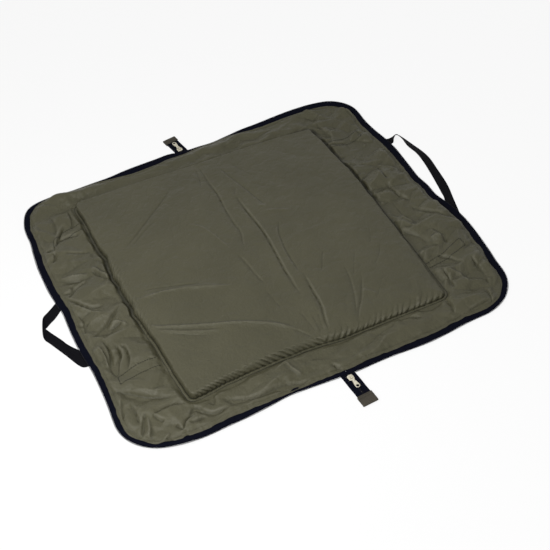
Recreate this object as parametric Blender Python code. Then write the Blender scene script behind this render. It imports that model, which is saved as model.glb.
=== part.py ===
# Padded unhooking mat that folds in half and zips round its rim. Metres, +Z up.
# X runs along the 73 cm side, Y along the 70 cm side, and the fold lies on the Y axis.
# The origin is on the floor under the middle of the fold.
import math

import bmesh
import bpy
from mathutils import Vector

# Overall plan
mat_width = 0.730
mat_depth = 0.700
corner_radius = 0.094
pad_width = 0.490
pad_depth = 0.544
joint_gap = 0.0003

# Thicknesses
base_thickness = 0.0008
cover_thickness = 0.0007
tape_thickness = 0.0006
webbing_thickness = 0.0014
webbing_width = 0.020

# Padded panel: height of its top edge, rise of the crown and run of the drawn-in wall
pad_edge_height = 0.0170
crown_rise = 0.0045
wall_run = 0.0050
panel_sag = 0.0012
foam_clearance = 0.0005
foam_side_inset = 0.0060

# Fold: half the width of the strip between the two hinge lines
spine_half = 0.0190
foam_inner_inset = 0.0040

# Loose border: how far it puffs up beside the seam, and where the base sheet steps up
puff_height = 0.0034
base_step_run = 0.0120
flat_rim = 0.0060

# Zip round the rim
tape_width_shown = 0.0120
tape_seam = 0.0080
coil_diameter = 0.0020
coil_sides = 6
arc_steps = 6

# How far the soft rim strays from a true rounded rectangle, every 15 degrees from the left side
rim_sway = 0.0100
sway_fade = 0.0600
sway_squareness = 5
sway_shares = (
    -0.35, -0.40, -0.70, -0.25, -0.10, -0.90, -0.25, -0.10, 0.00, -0.50, 0.10, 0.25,
    0.05, 0.20, -0.20, 0.50, 0.10, 0.00, 0.00, 0.10, 0.00, 0.40, -0.35, 0.10,
)

# Grid lines as shares of the half pad and of the border outside it
pad_x_shares = (0.10, 0.22, 0.36, 0.50, 0.64, 0.78, 0.90)
pad_y_shares = (0.0, 0.13, 0.27, 0.41, 0.55, 0.69, 0.81, 0.91)
side_border_shares = (0.04, 0.13, 0.27, 0.43, 0.60, 0.77, 0.90)
end_border_shares = (0.06, 0.19, 0.36, 0.55, 0.74, 0.90)
base_pad_shares = (0.0, 0.5)
base_border_shares = (0.5,)
rim_end_shares = (0.0, 0.12, 0.28, 0.46, 0.64, 0.82)
rim_side_shares = (0.75, 0.5, 0.25)

# Main folds of the border: start and end as shares of the half width and half depth,
# then height and half-width
fold_height = 0.0100
fold_reach = 0.0130
border_fold_shares = (
    (-0.74, -0.83, -0.58, -0.93, 0.80, 1.10),
    (-0.52, -0.87, 0.24, -0.89, 0.40, 1.00),
    (0.40, -0.86, 0.68, -0.90, 0.40, 0.90),
    (-0.90, 0.72, -0.48, 0.90, 0.80, 1.10),
    (-0.38, 0.90, -0.14, 0.90, 0.35, 0.90),
    (0.12, 0.90, 0.38, 0.92, 0.75, 1.00),
    (0.52, 0.90, 0.72, 0.84, 0.55, 1.00),
    (-0.74, 0.10, -0.92, 0.22, 0.45, 0.90),
    (-0.72, -0.20, -0.90, -0.02, 0.35, 0.90),
    (-0.74, -0.62, -0.86, -0.74, 0.55, 1.00),
    (0.72, 0.34, 0.92, 0.12, 0.40, 0.90),
    (0.74, -0.12, 0.92, -0.28, 0.40, 0.90),
    (0.74, -0.66, 0.88, -0.70, 0.45, 0.90),
    (0.76, 0.62, 0.84, 0.78, 0.50, 1.00),
)

# Shallow creases of the padded top, laid out in the same way
crease_height = 0.0020
crease_reach = 0.0100
panel_crease_shares = (
    (-0.60, -0.30, -0.04, -0.66, 0.8, 1.0),
    (-0.58, 0.00, -0.18, -0.20, 0.7, 1.0),
    (-0.62, 0.34, -0.18, 0.66, 0.6, 1.1),
    (0.26, -0.70, 0.48, -0.36, 0.5, 1.0),
)

# Handles: hinge line outside the rim, reach and rise of the loop beyond it
handle_offset = 0.0045
grip_reach = 0.0400
grip_rise = 0.0130
patch_length = 0.0760
# The two edges of each loop from its far end round to its near end: share of the reach,
# of half the depth, and of the rise
left_grip_shares = (
    ((0.00, 0.171, 0.00), (0.00, 0.093, 0.00)),
    ((0.31, 0.144, 0.00), (0.38, 0.061, 0.00)),
    ((0.55, 0.121, 0.10), (0.61, 0.040, 0.02)),
    ((0.69, 0.074, 0.56), (0.67, 0.035, 0.06)),
    ((0.89, -0.009, 0.64), (0.68, 0.031, 0.08)),
    ((0.92, -0.043, 0.25), (0.64, 0.023, 0.04)),
    ((0.76, -0.079, 0.00), (0.51, -0.012, 0.00)),
    ((0.39, -0.187, 0.00), (0.26, -0.077, 0.00)),
    ((0.00, -0.300, 0.00), (0.00, -0.147, 0.00)),
)
right_grip_shares = (
    ((0.00, 0.483, 0.00), (0.00, 0.429, 0.00)),
    ((0.26, 0.480, 0.04), (0.18, 0.437, 0.79)),
    ((0.55, 0.487, 0.04), (0.38, 0.449, 0.98)),
    ((0.70, 0.446, 0.04), (0.46, 0.400, 0.95)),
    ((0.85, 0.357, 0.04), (0.44, 0.337, 0.72)),
    ((0.98, 0.273, 0.04), (0.55, 0.254, 0.56)),
    ((1.01, 0.200, 0.02), (0.53, 0.177, 0.37)),
    ((0.90, 0.103, 0.01), (0.43, 0.083, 0.14)),
    ((0.71, -0.040, 0.00), (0.25, -0.033, 0.00)),
    ((0.42, -0.160, 0.00), (0.15, -0.086, 0.00)),
    ((0.00, -0.317, 0.00), (0.00, -0.149, 0.00)),
)
# Middle of each sewn patch as shares of half the depth, at the pad seam and its outer end
left_near_patch_shares = (-0.477, -0.500)
left_far_patch_shares = (0.606, 0.640)
right_near_patch_shares = (-0.506, -0.537)
right_far_patch_shares = (0.577, 0.600)

# Zip tails: place of the root, lean in degrees, length with and without the end tab
tail_half_width = 0.0125
near_tail_x = 0.0110
near_tail_lean = 3.5
near_tail_length = 0.0700
near_tab_length = 0.0215
far_tail_x = -0.0030
far_tail_lean = 8.0
far_tail_length = 0.0540
far_tab_length = 0.0165
tab_overhang = 0.0010
tab_thickness = 0.0009
coil_row_gap = 0.0018

# Slider: two flanged plates, a post between the rows, a crown over the pull
slider_length = 0.0125
slider_half_width = 0.0053
slider_plate = 0.0010
slider_lip = 0.0011
slider_start = 0.0012
post_width = 0.0011
post_length = 0.0032
crown_width = 0.0022
crown_length = 0.0066
crown_wall = 0.0011
crown_opening = 0.0020
pull_thickness = 0.0012
pull_length = 0.0262
pull_neck_half = 0.0029
pull_end_half = 0.0040
pull_bar = 0.0012
pull_slot_length = 0.0042
pull_hole_radius = 0.0018
pull_end_steps = 8

# Modelling allowances
overrun = 0.0010
merge_distance = 0.00001
smooth_angle = 40.0

# Levels of the layers in the border
base_low = webbing_thickness + joint_gap
base_high = base_low + base_thickness
tape_low = base_high + joint_gap
tape_high = tape_low + tape_thickness
seam_height = tape_high + joint_gap + cover_thickness
coil_centre = (tape_low + tape_high) / 2
hinge_height = seam_height

half_width = mat_width / 2
half_depth = mat_depth / 2
pad_x = pad_width / 2
pad_y = pad_depth / 2
rim_inset = tape_width_shown
border_x = half_width - rim_inset - pad_x
border_y = half_depth - rim_inset - pad_y
handle_line = half_width + handle_offset


# Colours sampled by eye from the photo: olive nylon, black webbing, near-black zip, pale metal
def material(name, colour, roughness, metallic=0.0):
    made = bpy.data.materials.new(name)
    made.use_nodes = True
    shader = made.node_tree.nodes["Principled BSDF"]
    shader.inputs["Base Color"].default_value = (*colour, 1.0)
    shader.inputs["Roughness"].default_value = roughness
    shader.inputs["Metallic"].default_value = metallic
    return made


def clear_scene():
    for item in list(bpy.data.objects):
        bpy.data.objects.remove(item)


def add_object(name, mesh, surface, parent=None, smooth=False):
    made = bpy.data.objects.new(name, mesh)
    made.data.materials.append(surface)
    bpy.context.scene.collection.objects.link(made)
    if parent:
        made.parent = parent
    if smooth:
        mesh.shade_smooth()
        mesh.set_sharp_from_angle(angle=math.radians(smooth_angle))
    return made


def add_empty(name, location, turn=0.0, parent=None):
    made = bpy.data.objects.new(name, None)
    made.location = location
    made.rotation_euler = (0, 0, turn)
    bpy.context.scene.collection.objects.link(made)
    if parent:
        made.parent = parent
    return made


def mesh_from(name, points, faces, origin=(0, 0, 0)):
    built = bmesh.new()
    corners = [built.verts.new(Vector(p) - Vector(origin)) for p in points]
    for face in faces:
        built.faces.new([corners[i] for i in face])
    bmesh.ops.remove_doubles(built, verts=built.verts, dist=merge_distance)
    bmesh.ops.recalc_face_normals(built, faces=built.faces)
    mesh = bpy.data.meshes.new(name)
    built.to_mesh(mesh)
    built.free()
    return mesh


# Whether a cell's first diagonal points away from the middle of the mat
def runs_outwards(near, far):
    across, along = far[0] - near[0], far[1] - near[1]
    return (near[0] + far[0]) * (near[1] + far[1]) * across * along > 0


# A thin shell between two grids of points of the same size. Both faces of the sheet are split
# along the same diagonals, so that they stay apart.
def shell_mesh(name, top, bottom, origin=(0, 0, 0)):
    rows, columns = len(top), len(top[0])
    points = [p for row in top for p in row] + [p for row in bottom for p in row]
    under = rows * columns
    faces = []
    for i in range(rows - 1):
        for j in range(columns - 1):
            a, b = i * columns + j, (i + 1) * columns + j
            halves = [(a, a + 1, b), (a + 1, b + 1, b)]
            if runs_outwards(top[i][j], top[i + 1][j + 1]):
                halves = [(a, a + 1, b + 1), (a, b + 1, b)]
            for half in halves:
                faces.append(half)
                faces.append(tuple(under + k for k in reversed(half)))
    rim = [j for j in range(columns)]
    rim += [i * columns + columns - 1 for i in range(1, rows)]
    rim += [(rows - 1) * columns + j for j in range(columns - 2, -1, -1)]
    rim += [i * columns for i in range(rows - 2, 0, -1)]
    for here, there in zip(rim, rim[1:] + rim[:1]):
        faces.append((here, under + here, under + there, there))
    return mesh_from(name, points, faces, origin)


# A closed body through a row of sections that have the same number of points
def loft_mesh(name, sections, origin=(0, 0, 0)):
    count = len(sections[0])
    points = [p for section in sections for p in section]
    faces = [tuple(range(count)), tuple((len(sections) - 1) * count + k for k in range(count))]
    for i in range(len(sections) - 1):
        for k in range(count):
            a, b = i * count + k, i * count + (k + 1) % count
            faces.append((a, b, b + count, a + count))
    return mesh_from(name, points, faces, origin)


def box_mesh(name, low, high):
    (x0, y0, z0), (x1, y1, z1) = low, high
    ring = ((x0, y0), (x1, y0), (x1, y1), (x0, y1))
    return loft_mesh(name, [[(x, y, z) for x, y in ring] for z in (z0, z1)])


# A flat outline in local X and Y, raised from one level to another
def plate_mesh(name, outline, low, high):
    return loft_mesh(name, [[(x, y, z) for x, y in outline] for z in (low, high)])


# An outline in local X and Z, drawn along local Y
def channel_mesh(name, outline, start, end):
    return loft_mesh(name, [[(x, y, z) for x, z in outline] for y in (start, end)])


def cut_or_join(target, tool, operation):
    tool.hide_render = True
    tool.display_type = "WIRE"
    change = target.modifiers.new(tool.name, "BOOLEAN")
    change.operation = operation
    change.object = tool


def smooth_step(value):
    value = min(max(value, 0.0), 1.0)
    return value * value * (3 - 2 * value)


# Distance outside a rounded rectangle, negative inside
def outside_by(x, y, reach_x, reach_y, radius):
    dx = abs(x) - reach_x + radius
    dy = abs(y) - reach_y + radius
    return math.hypot(max(dx, 0), max(dy, 0)) + min(max(dx, dy), 0) - radius


# The plan of the soft rim: every layer of the border is moved by the same amount
def sway(x, y):
    rim = outside_by(
        x, y, half_width - rim_inset, half_depth - rim_inset, corner_radius - rim_inset
    )
    fade = smooth_step(1 + rim / sway_fade)
    around = math.atan2(y / half_depth, x / half_width) / math.pi + 1
    station = around * len(sway_shares) / 2
    first = int(station) % len(sway_shares)
    blend = smooth_step(station - int(station))
    here, there = sway_shares[first], sway_shares[(first + 1) % len(sway_shares)]
    amount = rim_sway * fade * (here + (there - here) * blend)
    out_x = (x / half_width) ** sway_squareness
    out_y = (y / half_depth) ** sway_squareness
    length = math.hypot(out_x, out_y)
    if length < merge_distance:
        return x, y
    return x + amount * out_x / length, y + amount * out_y / length


# Rounds the corner of a rectangular grid so that its edge follows the arc
def round_corner(x, y):
    radius = corner_radius - rim_inset
    centre_x = half_width - rim_inset - radius
    centre_y = half_depth - rim_inset - radius
    dx, dy = abs(x) - centre_x, abs(y) - centre_y
    if dx <= 0 or dy <= 0:
        return x, y
    turned_x = dx * math.sqrt(1 - dy * dy / (2 * radius * radius))
    turned_y = dy * math.sqrt(1 - dx * dx / (2 * radius * radius))
    return math.copysign(centre_x + turned_x, x), math.copysign(centre_y + turned_y, y)


# Height that a row of soft ridges adds at one place
def ridges(x, y, table, height, reach):
    total = 0.0
    for x0, y0, x1, y1, high, wide in table:
        start = Vector((x0 * half_width, y0 * half_depth))
        run = Vector((x1 * half_width, y1 * half_depth)) - start
        along = (Vector((x, y)) - start).dot(run) / run.length_squared
        nearest = start + run * min(max(along, 0.0), 1.0)
        away = (Vector((x, y)) - nearest).length / (reach * wide)
        total += height * high * math.exp(-away * away)
    return total


# Padded top without its creases
def panel_height(x, y):
    crown = (1 - (x / pad_x) ** 2) * (1 - (y / pad_y) ** 2)
    dip = panel_sag * math.exp(-((x / spine_half) ** 2))
    return pad_edge_height + crown_rise * crown - dip


# Upper face of the top cover: crown, drawn-in wall, seam, puffed border and its folds
def cover_height(x, y):
    inside = min(pad_x - abs(x), pad_y - abs(y))
    if inside > 0:
        rise = smooth_step(inside / wall_run)
        creases = ridges(x, y, panel_crease_shares, crease_height, crease_reach)
        full = panel_height(x, y) + creases * smooth_step(inside / pad_edge_height)
        return seam_height + (full - seam_height) * rise
    share = max((abs(x) - pad_x) / border_x, (abs(y) - pad_y) / border_y)
    rim = -outside_by(
        x, y, half_width - rim_inset, half_depth - rim_inset, corner_radius - rim_inset
    )
    settle = smooth_step((rim - flat_rim) / flat_rim)
    leave = smooth_step(share * border_y / wall_run)
    puff = puff_height * leave * (1 - share)
    folds = ridges(x, y, border_fold_shares, fold_height, fold_reach)
    folds *= leave * smooth_step((abs(x) - spine_half) / spine_half)
    return seam_height + (puff + folds) * settle


def base_bottom(x, y):
    outside = max(abs(x) - pad_x, abs(y) - pad_y)
    return base_low * smooth_step(outside / base_step_run)


# Grid lines from the fold out to the rim, and across the whole depth
def lines_x(pad_shares, border_shares, with_wall):
    inner = spine_half + joint_gap
    lines = [inner] + [inner + (pad_x - inner) * s for s in pad_shares if s > 0]
    if with_wall:
        lines.append(pad_x - wall_run)
        lines.append(pad_x - wall_run / 2)
    lines.append(pad_x)
    lines += [pad_x + border_x * s for s in border_shares]
    return lines + [pad_x + border_x]


def lines_y(pad_shares, border_shares, with_wall):
    half = [pad_y * s for s in pad_shares]
    if with_wall:
        half.append(pad_y - wall_run)
        half.append(pad_y - wall_run / 2)
    half.append(pad_y)
    half += [pad_y + border_y * s for s in border_shares]
    half.append(pad_y + border_y)
    return [-y for y in reversed(half[1:])] + half


def sheet_mesh(name, across, along, low_at, high_at, origin=(0, 0, 0)):
    top, bottom = [], []
    for y in along:
        upper, lower = [], []
        for x in across:
            plan = round_corner(x, y)
            moved = sway(*plan)
            upper.append((*moved, high_at(*plan)))
            lower.append((*moved, low_at(*plan)))
        top.append(upper)
        bottom.append(lower)
    return shell_mesh(name, top, bottom, origin)


def hinge_point(side):
    return (side * spine_half, 0, hinge_height)


def cover_under(x, y):
    return cover_height(x, y) - cover_thickness


def base_top(x, y):
    return base_bottom(x, y) + base_thickness


def half_covers(side, label, holder):
    signed = [side * x for x in lines_x(pad_x_shares, side_border_shares, True)]
    along = lines_y(pad_y_shares, end_border_shares, True)
    name = "cover_" + label
    mesh = sheet_mesh(name, signed, along, cover_under, cover_height, hinge_point(side))
    add_object(name, mesh, nylon, holder, smooth=True)
    name = "base_sheet_" + label
    signed = [side * x for x in lines_x(base_pad_shares, base_border_shares, False)]
    signed.insert(-2, side * (pad_x + base_step_run / 2))
    signed.insert(-2, side * (pad_x + base_step_run))
    along = lines_y(base_pad_shares, base_border_shares, False)
    steps = (pad_y + base_step_run / 2, pad_y + base_step_run)
    along = sorted(along + [s * y for y in steps for s in (-1, 1)] + corner_lines())
    mesh = sheet_mesh(name, sorted(signed), along, base_bottom, base_top, hinge_point(side))
    add_object(name, mesh, nylon, holder, smooth=True)


# Extra lines that keep the arc of the corner round on the plain base sheet
def corner_lines():
    start = half_depth - corner_radius
    return [side * (start + (pad_y - start) / 2) for side in (-1, 1)]


def foam_pad(side, label, holder):
    name = "foam_pad_" + label
    inner = spine_half + foam_inner_inset
    outer = pad_x - foam_side_inset
    across = [side * (inner + (outer - inner) * s) for s in (0.0, *pad_x_shares, 1.0)]
    reach = pad_y - foam_side_inset
    half = [reach * s for s in (*pad_y_shares, 1.0)]
    along = [-y for y in reversed(half[1:])] + half
    low = base_thickness + joint_gap
    drop = cover_thickness + foam_clearance
    top = [[(x, y, panel_height(x, y) - drop) for x in across] for y in along]
    bottom = [[(x, y, low) for x in across] for y in along]
    mesh = shell_mesh(name, top, bottom, hinge_point(side))
    add_object(name, mesh, foam, holder, smooth=True)


# Points along the rim of one half at one distance inside the mat's edge
def rim_points(side, inset):
    radius = corner_radius - inset
    reach_x, reach_y = half_width - inset, half_depth - inset
    centre_x, centre_y = half_width - corner_radius, half_depth - corner_radius
    points = []
    inner = spine_half + joint_gap
    for share in rim_end_shares:
        points.append((inner + (centre_x - inner) * share, -reach_y))
    for step in range(arc_steps + 1):
        turn = -math.pi / 2 + math.pi / 2 * step / arc_steps
        points.append((centre_x + radius * math.cos(turn), -centre_y + radius * math.sin(turn)))
    for share in rim_side_shares:
        points.append((reach_x, -centre_y * share))
    mirrored = [(x, -y) for x, y in reversed(points)]
    return [(side * x, y) for x, y in [*points, (reach_x, 0), *mirrored]]


def zip_round_rim(side, label, holder):
    outer = rim_points(side, coil_diameter + joint_gap)
    inner = rim_points(side, tape_width_shown + tape_seam)
    sections = []
    for (ox, oy), (ix, iy) in zip(outer, inner):
        out, into = sway(ox, oy), sway(ix, iy)
        sections.append(
            [(*out, tape_low), (*out, tape_high), (*into, tape_high), (*into, tape_low)]
        )
    name = "zip_tape_" + label
    add_object(name, loft_mesh(name, sections, hinge_point(side)), tape_cloth, holder)
    sections = []
    middle = rim_points(side, coil_diameter / 2)
    edge = rim_points(side, 0)
    for (mx, my), (ex, ey) in zip(middle, edge):
        centre = Vector(sway(mx, my))
        away = (Vector(sway(ex, ey)) - centre).normalized() * coil_diameter / 2
        ring = []
        for k in range(coil_sides):
            turn = 2 * math.pi * k / coil_sides
            flat = centre + away * math.cos(turn)
            ring.append((*flat, coil_centre + coil_diameter / 2 * math.sin(turn)))
        sections.append(ring)
    name = "zip_coil_" + label
    add_object(name, loft_mesh(name, sections, hinge_point(side)), zip_plastic, holder)


# A ribbon of webbing between two edges, thickened square to its face
def ribbon_sections(pairs):
    sections = []
    for i, (first, second) in enumerate(pairs):
        a, b = Vector(first), Vector(second)
        before = pairs[max(i - 1, 0)]
        after = pairs[min(i + 1, len(pairs) - 1)]
        run = (Vector(after[0]) + Vector(after[1])) - (Vector(before[0]) + Vector(before[1]))
        if i in (0, len(pairs) - 1):
            normal = Vector((0, 0, 1))
        else:
            normal = run.cross(b - a).normalized()
        if normal.z < 0:
            normal = -normal
        half = normal * webbing_thickness / 2
        sections.append([a - half, a + half, b + half, b - half])
    return sections


# Places of a loop's two edges from its table of shares
def grip_edges(side, shares):
    level = webbing_thickness / 2
    edges = []
    for pair in shares:
        places = []
        for out, along, up in pair:
            x = side * (handle_line + grip_reach * out)
            places.append((x, half_depth * along, level + grip_rise * up))
        edges.append(places)
    return edges


def grip(side, label, pairs, holder):
    hinge = (side * handle_line, 0, webbing_thickness)
    here = Vector(hinge) - Vector(hinge_point(side))
    pivot = add_empty("handle_hinge_" + label, here, 0.0, holder)
    name = "handle_" + label
    mesh = loft_mesh(name, ribbon_sections(pairs), hinge)
    add_object(name, mesh, webbing, pivot, smooth=True)


# The sewn end of a handle: along the patch from the pad seam, then out to the rim
def handle_end(side, label, patch, grip_end, turn_y, holder):
    inner_y, outer_y = (half_depth * share for share in patch)
    low, high = 0, webbing_thickness
    half = webbing_width / 2
    inner_x = side * (pad_x + base_step_run)
    outer_x = side * (pad_x + patch_length)
    away = math.copysign(half, grip_end[0][1] - outer_y)
    edge_a = max(grip_end, key=lambda p: p[1] * away)
    edge_b = min(grip_end, key=lambda p: p[1] * away)
    last_x = side * (handle_line - joint_gap)
    path = [
        ((inner_x, inner_y + away), (inner_x, inner_y - away)),
        ((outer_x - side * half, outer_y + away), (outer_x + side * half, outer_y - away)),
        ((outer_x - side * half, turn_y), (outer_x + side * half, turn_y)),
        ((last_x, edge_a[1]), (last_x, edge_b[1])),
    ]
    sections = []
    for (ax, ay), (bx, by) in path:
        sections.append([(ax, ay, low), (ax, ay, high), (bx, by, high), (bx, by, low)])
    name = "handle_end_" + label
    add_object(name, loft_mesh(name, sections, hinge_point(side)), webbing, holder)


def half_of_mat(side, label, grip_shares, near_patch, far_patch):
    holder = add_empty("fold_" + label, hinge_point(side))
    pairs = grip_edges(side, grip_shares)
    half_covers(side, label, holder)
    foam_pad(side, label, holder)
    zip_round_rim(side, label, holder)
    grip(side, label, pairs, holder)
    far_end, near_end = pairs[0], pairs[-1]
    near_turn = half_depth * near_patch[1] + webbing_width
    far_turn = half_depth * far_patch[1] - webbing_width
    handle_end(side, label + "_near", near_patch, near_end, near_turn, holder)
    handle_end(side, label + "_far", far_patch, far_end, far_turn, holder)


# The strip between the hinge lines, with the stretch of zip tape on each side of a tail
def fold_strip():
    reach = spine_half - joint_gap
    across = [-reach, -reach / 2, 0, reach / 2, reach]
    along = lines_y(pad_y_shares, end_border_shares, True)
    mesh = sheet_mesh("cover_spine", across, along, cover_under, cover_height)
    add_object("cover_spine", mesh, nylon, smooth=True)
    along = lines_y(base_pad_shares, base_border_shares, False)
    steps = (pad_y + base_step_run / 2, pad_y + base_step_run)
    along = sorted(along + [s * y for y in steps for s in (-1, 1)])
    mesh = sheet_mesh("base_sheet_spine", [-reach, 0, reach], along, base_bottom, base_top)
    add_object("base_sheet_spine", mesh, nylon, smooth=True)
    for end, end_label, tail_x in ((-1, "near", near_tail_x), (1, "far", far_tail_x)):
        for side, label in ((-1, "left"), (1, "right")):
            split = tail_x + side * joint_gap / 2
            inner_y = end * (half_depth - tape_width_shown - tape_seam)
            outer_y = end * half_depth
            top, bottom = [], []
            for x in (side * reach, split):
                ends = [(x, inner_y), sway(x, outer_y)]
                top.append([(px, py, tape_high) for px, py in ends])
                bottom.append([(px, py, tape_low) for px, py in ends])
            name = "rim_tape_" + end_label + "_" + label
            add_object(name, shell_mesh(name, top, bottom), tape_cloth)


# Outline of the pull: narrow eye at the slider, wider round end
def pull_outline():
    start = -pull_bar / 2
    centre = pull_length - pull_end_half + start
    right = [(pull_neck_half, start), (pull_neck_half, pull_slot_length + pull_bar)]
    for step in range(pull_end_steps + 1):
        turn = math.pi / 2 * step / pull_end_steps
        right.append((pull_end_half * math.cos(turn), centre + pull_end_half * math.sin(turn)))
    left = [(-x, y) for x, y in reversed(right) if x > merge_distance]
    return right + left


def zip_slider(label, holder):
    wide, lip = slider_half_width, slider_lip
    top_low = coil_centre + coil_diameter / 2 + joint_gap
    top_high = top_low + slider_plate
    under_high = coil_centre - coil_diameter / 2 - joint_gap
    under_low = under_high - slider_plate
    lip_low, lip_high = tape_high + joint_gap, tape_low - joint_gap
    ring = add_empty("slider_slot_" + label, (0, slider_start, 0), 0.0, holder)
    upper = [
        (-wide, top_high), (wide, top_high), (wide, lip_low), (wide - lip, lip_low),
        (wide - lip, top_low), (lip - wide, top_low), (lip - wide, lip_low), (-wide, lip_low),
    ]
    lower = [
        (-wide, under_low), (wide, under_low), (wide, lip_high), (wide - lip, lip_high),
        (wide - lip, under_high), (lip - wide, under_high), (lip - wide, lip_high),
        (-wide, lip_high),
    ]
    name = "slider_body_" + label
    body = add_object(name, channel_mesh(name, upper, 0, slider_length), metal, ring)
    under = channel_mesh("slider_under_" + label, lower, 0, slider_length)
    under_piece = add_object("slider_under_" + label, under, metal, ring)
    post = box_mesh(
        "slider_post_" + label,
        (-post_width / 2, joint_gap, (under_low + under_high) / 2),
        (post_width / 2, post_length, (top_low + top_high) / 2),
    )
    post_piece = add_object("slider_post_" + label, post, metal, ring)
    middle = slider_length / 2
    outer, inner = crown_length / 2, crown_length / 2 - crown_wall
    roof = top_high + crown_opening
    arch = [
        (-outer, top_high - slider_plate / 2), (-outer, roof), (-inner, roof + crown_wall),
        (inner, roof + crown_wall), (outer, roof), (outer, top_high - slider_plate / 2),
        (inner, top_high - slider_plate / 2), (inner, roof), (-inner, roof),
        (-inner, top_high - slider_plate / 2),
    ]
    half = crown_width / 2
    sections = [[(x, middle + y, z) for y, z in arch] for x in (-half, half)]
    crown = loft_mesh("slider_crown_" + label, sections)
    crown_piece = add_object("slider_crown_" + label, crown, metal, ring)
    for tool in (post_piece, under_piece, crown_piece):
        cut_or_join(body, tool, "UNION")
    bar_height = top_high + crown_opening / 2
    pivot = add_empty("pull_hinge_" + label, (0, middle, bar_height), 0.0, ring)
    name = "pull_tab_" + label
    low, high = -pull_thickness / 2, pull_thickness / 2
    pull = add_object(name, plate_mesh(name, pull_outline(), low, high), metal, pivot)
    slot_half = pull_neck_half - pull_bar
    slot_start = pull_bar / 2
    slot = box_mesh(
        "pull_slot_" + label,
        (-slot_half, slot_start, low - overrun),
        (slot_half, slot_start + pull_slot_length, high + overrun),
    )
    cut_or_join(pull, add_object("pull_slot_" + label, slot, metal, pivot), "DIFFERENCE")
    centre = pull_length - pull_end_half - pull_bar / 2
    circle = []
    for k in range(2 * pull_end_steps):
        turn = math.pi * k / pull_end_steps
        hole_x = pull_hole_radius * math.cos(turn)
        circle.append((hole_x, centre + pull_hole_radius * math.sin(turn)))
    hole = plate_mesh("pull_hole_" + label, circle, low - overrun, high + overrun)
    cut_or_join(pull, add_object("pull_hole_" + label, hole, metal, pivot), "DIFFERENCE")


# A tail of closed zip beyond the rim: two tapes, two coil rows and the folded end tab.
# Its own Y axis points away from the mat.
def zip_tail(label, turn, root_x, end, length, tab_length):
    corners = [root_x + side * tail_half_width for side in (-1, 1)]
    rim = max(abs(sway(x, end * half_depth)[1]) for x in corners)
    root_y = end * (rim + joint_gap + tail_half_width * abs(math.sin(turn)))
    holder = add_empty("tail_hinge_" + label, (root_x, root_y, 0), turn)
    row_offset = (coil_row_gap + coil_diameter) / 2
    tape_inner = coil_row_gap / 2 + coil_diameter + joint_gap
    tape_end = length - tab_thickness - joint_gap
    for side, side_label in ((-end, "left"), (end, "right")):
        name = "tail_tape_" + label + "_" + side_label
        low = (min(side * tape_inner, side * tail_half_width), 0, tape_low)
        high = (max(side * tape_inner, side * tail_half_width), tape_end, tape_high)
        add_object(name, box_mesh(name, low, high), tape_cloth, holder)
        name = "tail_coil_" + label + "_" + side_label
        sections = []
        for y in (joint_gap, tape_end):
            ring = []
            for k in range(coil_sides):
                around = 2 * math.pi * k / coil_sides
                x = side * row_offset + coil_diameter / 2 * math.cos(around)
                ring.append((x, y, coil_centre + coil_diameter / 2 * math.sin(around)))
            sections.append(ring)
        add_object(name, loft_mesh(name, sections), zip_plastic, holder)
    top_low = coil_centre + coil_diameter / 2 + joint_gap
    under_high = coil_centre - coil_diameter / 2 - joint_gap
    start = length - tab_length
    wide = tail_half_width + tab_overhang
    profile = [
        (start, under_high - tab_thickness), (length, under_high - tab_thickness),
        (length, top_low + tab_thickness), (start, top_low + tab_thickness),
        (start, top_low), (length - tab_thickness, top_low),
        (length - tab_thickness, under_high), (start, under_high),
    ]
    name = "end_tab_" + label
    sections = [[(x, y, z) for y, z in profile] for x in (-wide, wide)]
    add_object(name, loft_mesh(name, sections), tab_ribbon, holder)
    zip_slider(label, holder)


clear_scene()
nylon = material("olive_nylon", (0.105, 0.100, 0.073), 0.45)
foam = material("foam", (0.60, 0.60, 0.57), 0.9)
tape_cloth = material("zip_tape", (0.004, 0.005, 0.010), 0.7)
zip_plastic = material("zip_coil", (0.004, 0.004, 0.006), 0.4)
webbing = material("black_webbing", (0.004, 0.004, 0.005), 0.6)
tab_ribbon = material("tab_ribbon", (0.075, 0.066, 0.050), 0.8)
metal = material("slider_metal", (0.62, 0.58, 0.47), 0.32, 1.0)

half_of_mat(-1, "left", left_grip_shares, left_near_patch_shares, left_far_patch_shares)
half_of_mat(1, "right", right_grip_shares, right_near_patch_shares, right_far_patch_shares)
fold_strip()
near_turn = math.pi + math.radians(near_tail_lean)
zip_tail("near", near_turn, near_tail_x, -1, near_tail_length, near_tab_length)
far_turn = math.radians(far_tail_lean)
zip_tail("far", far_turn, far_tail_x, 1, far_tail_length, far_tab_length)
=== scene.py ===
import math

import bmesh
import bpy
import numpy as np
from mathutils import Matrix, Vector


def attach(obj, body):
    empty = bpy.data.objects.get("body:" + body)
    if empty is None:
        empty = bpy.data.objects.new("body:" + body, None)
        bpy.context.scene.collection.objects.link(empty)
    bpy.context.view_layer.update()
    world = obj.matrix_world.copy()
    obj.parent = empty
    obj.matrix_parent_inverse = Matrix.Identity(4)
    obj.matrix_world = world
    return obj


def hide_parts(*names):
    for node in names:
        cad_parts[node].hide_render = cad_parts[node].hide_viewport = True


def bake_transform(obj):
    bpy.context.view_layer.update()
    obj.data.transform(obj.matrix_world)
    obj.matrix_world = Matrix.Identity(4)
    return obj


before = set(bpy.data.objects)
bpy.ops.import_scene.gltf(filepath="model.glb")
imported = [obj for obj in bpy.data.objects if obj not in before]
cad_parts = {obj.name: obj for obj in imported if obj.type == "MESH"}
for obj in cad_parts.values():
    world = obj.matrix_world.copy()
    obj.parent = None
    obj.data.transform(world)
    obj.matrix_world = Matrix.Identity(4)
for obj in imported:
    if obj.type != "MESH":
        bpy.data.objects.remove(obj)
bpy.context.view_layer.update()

mm = 0.001
halves = {"left": -1, "right": 1}

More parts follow.
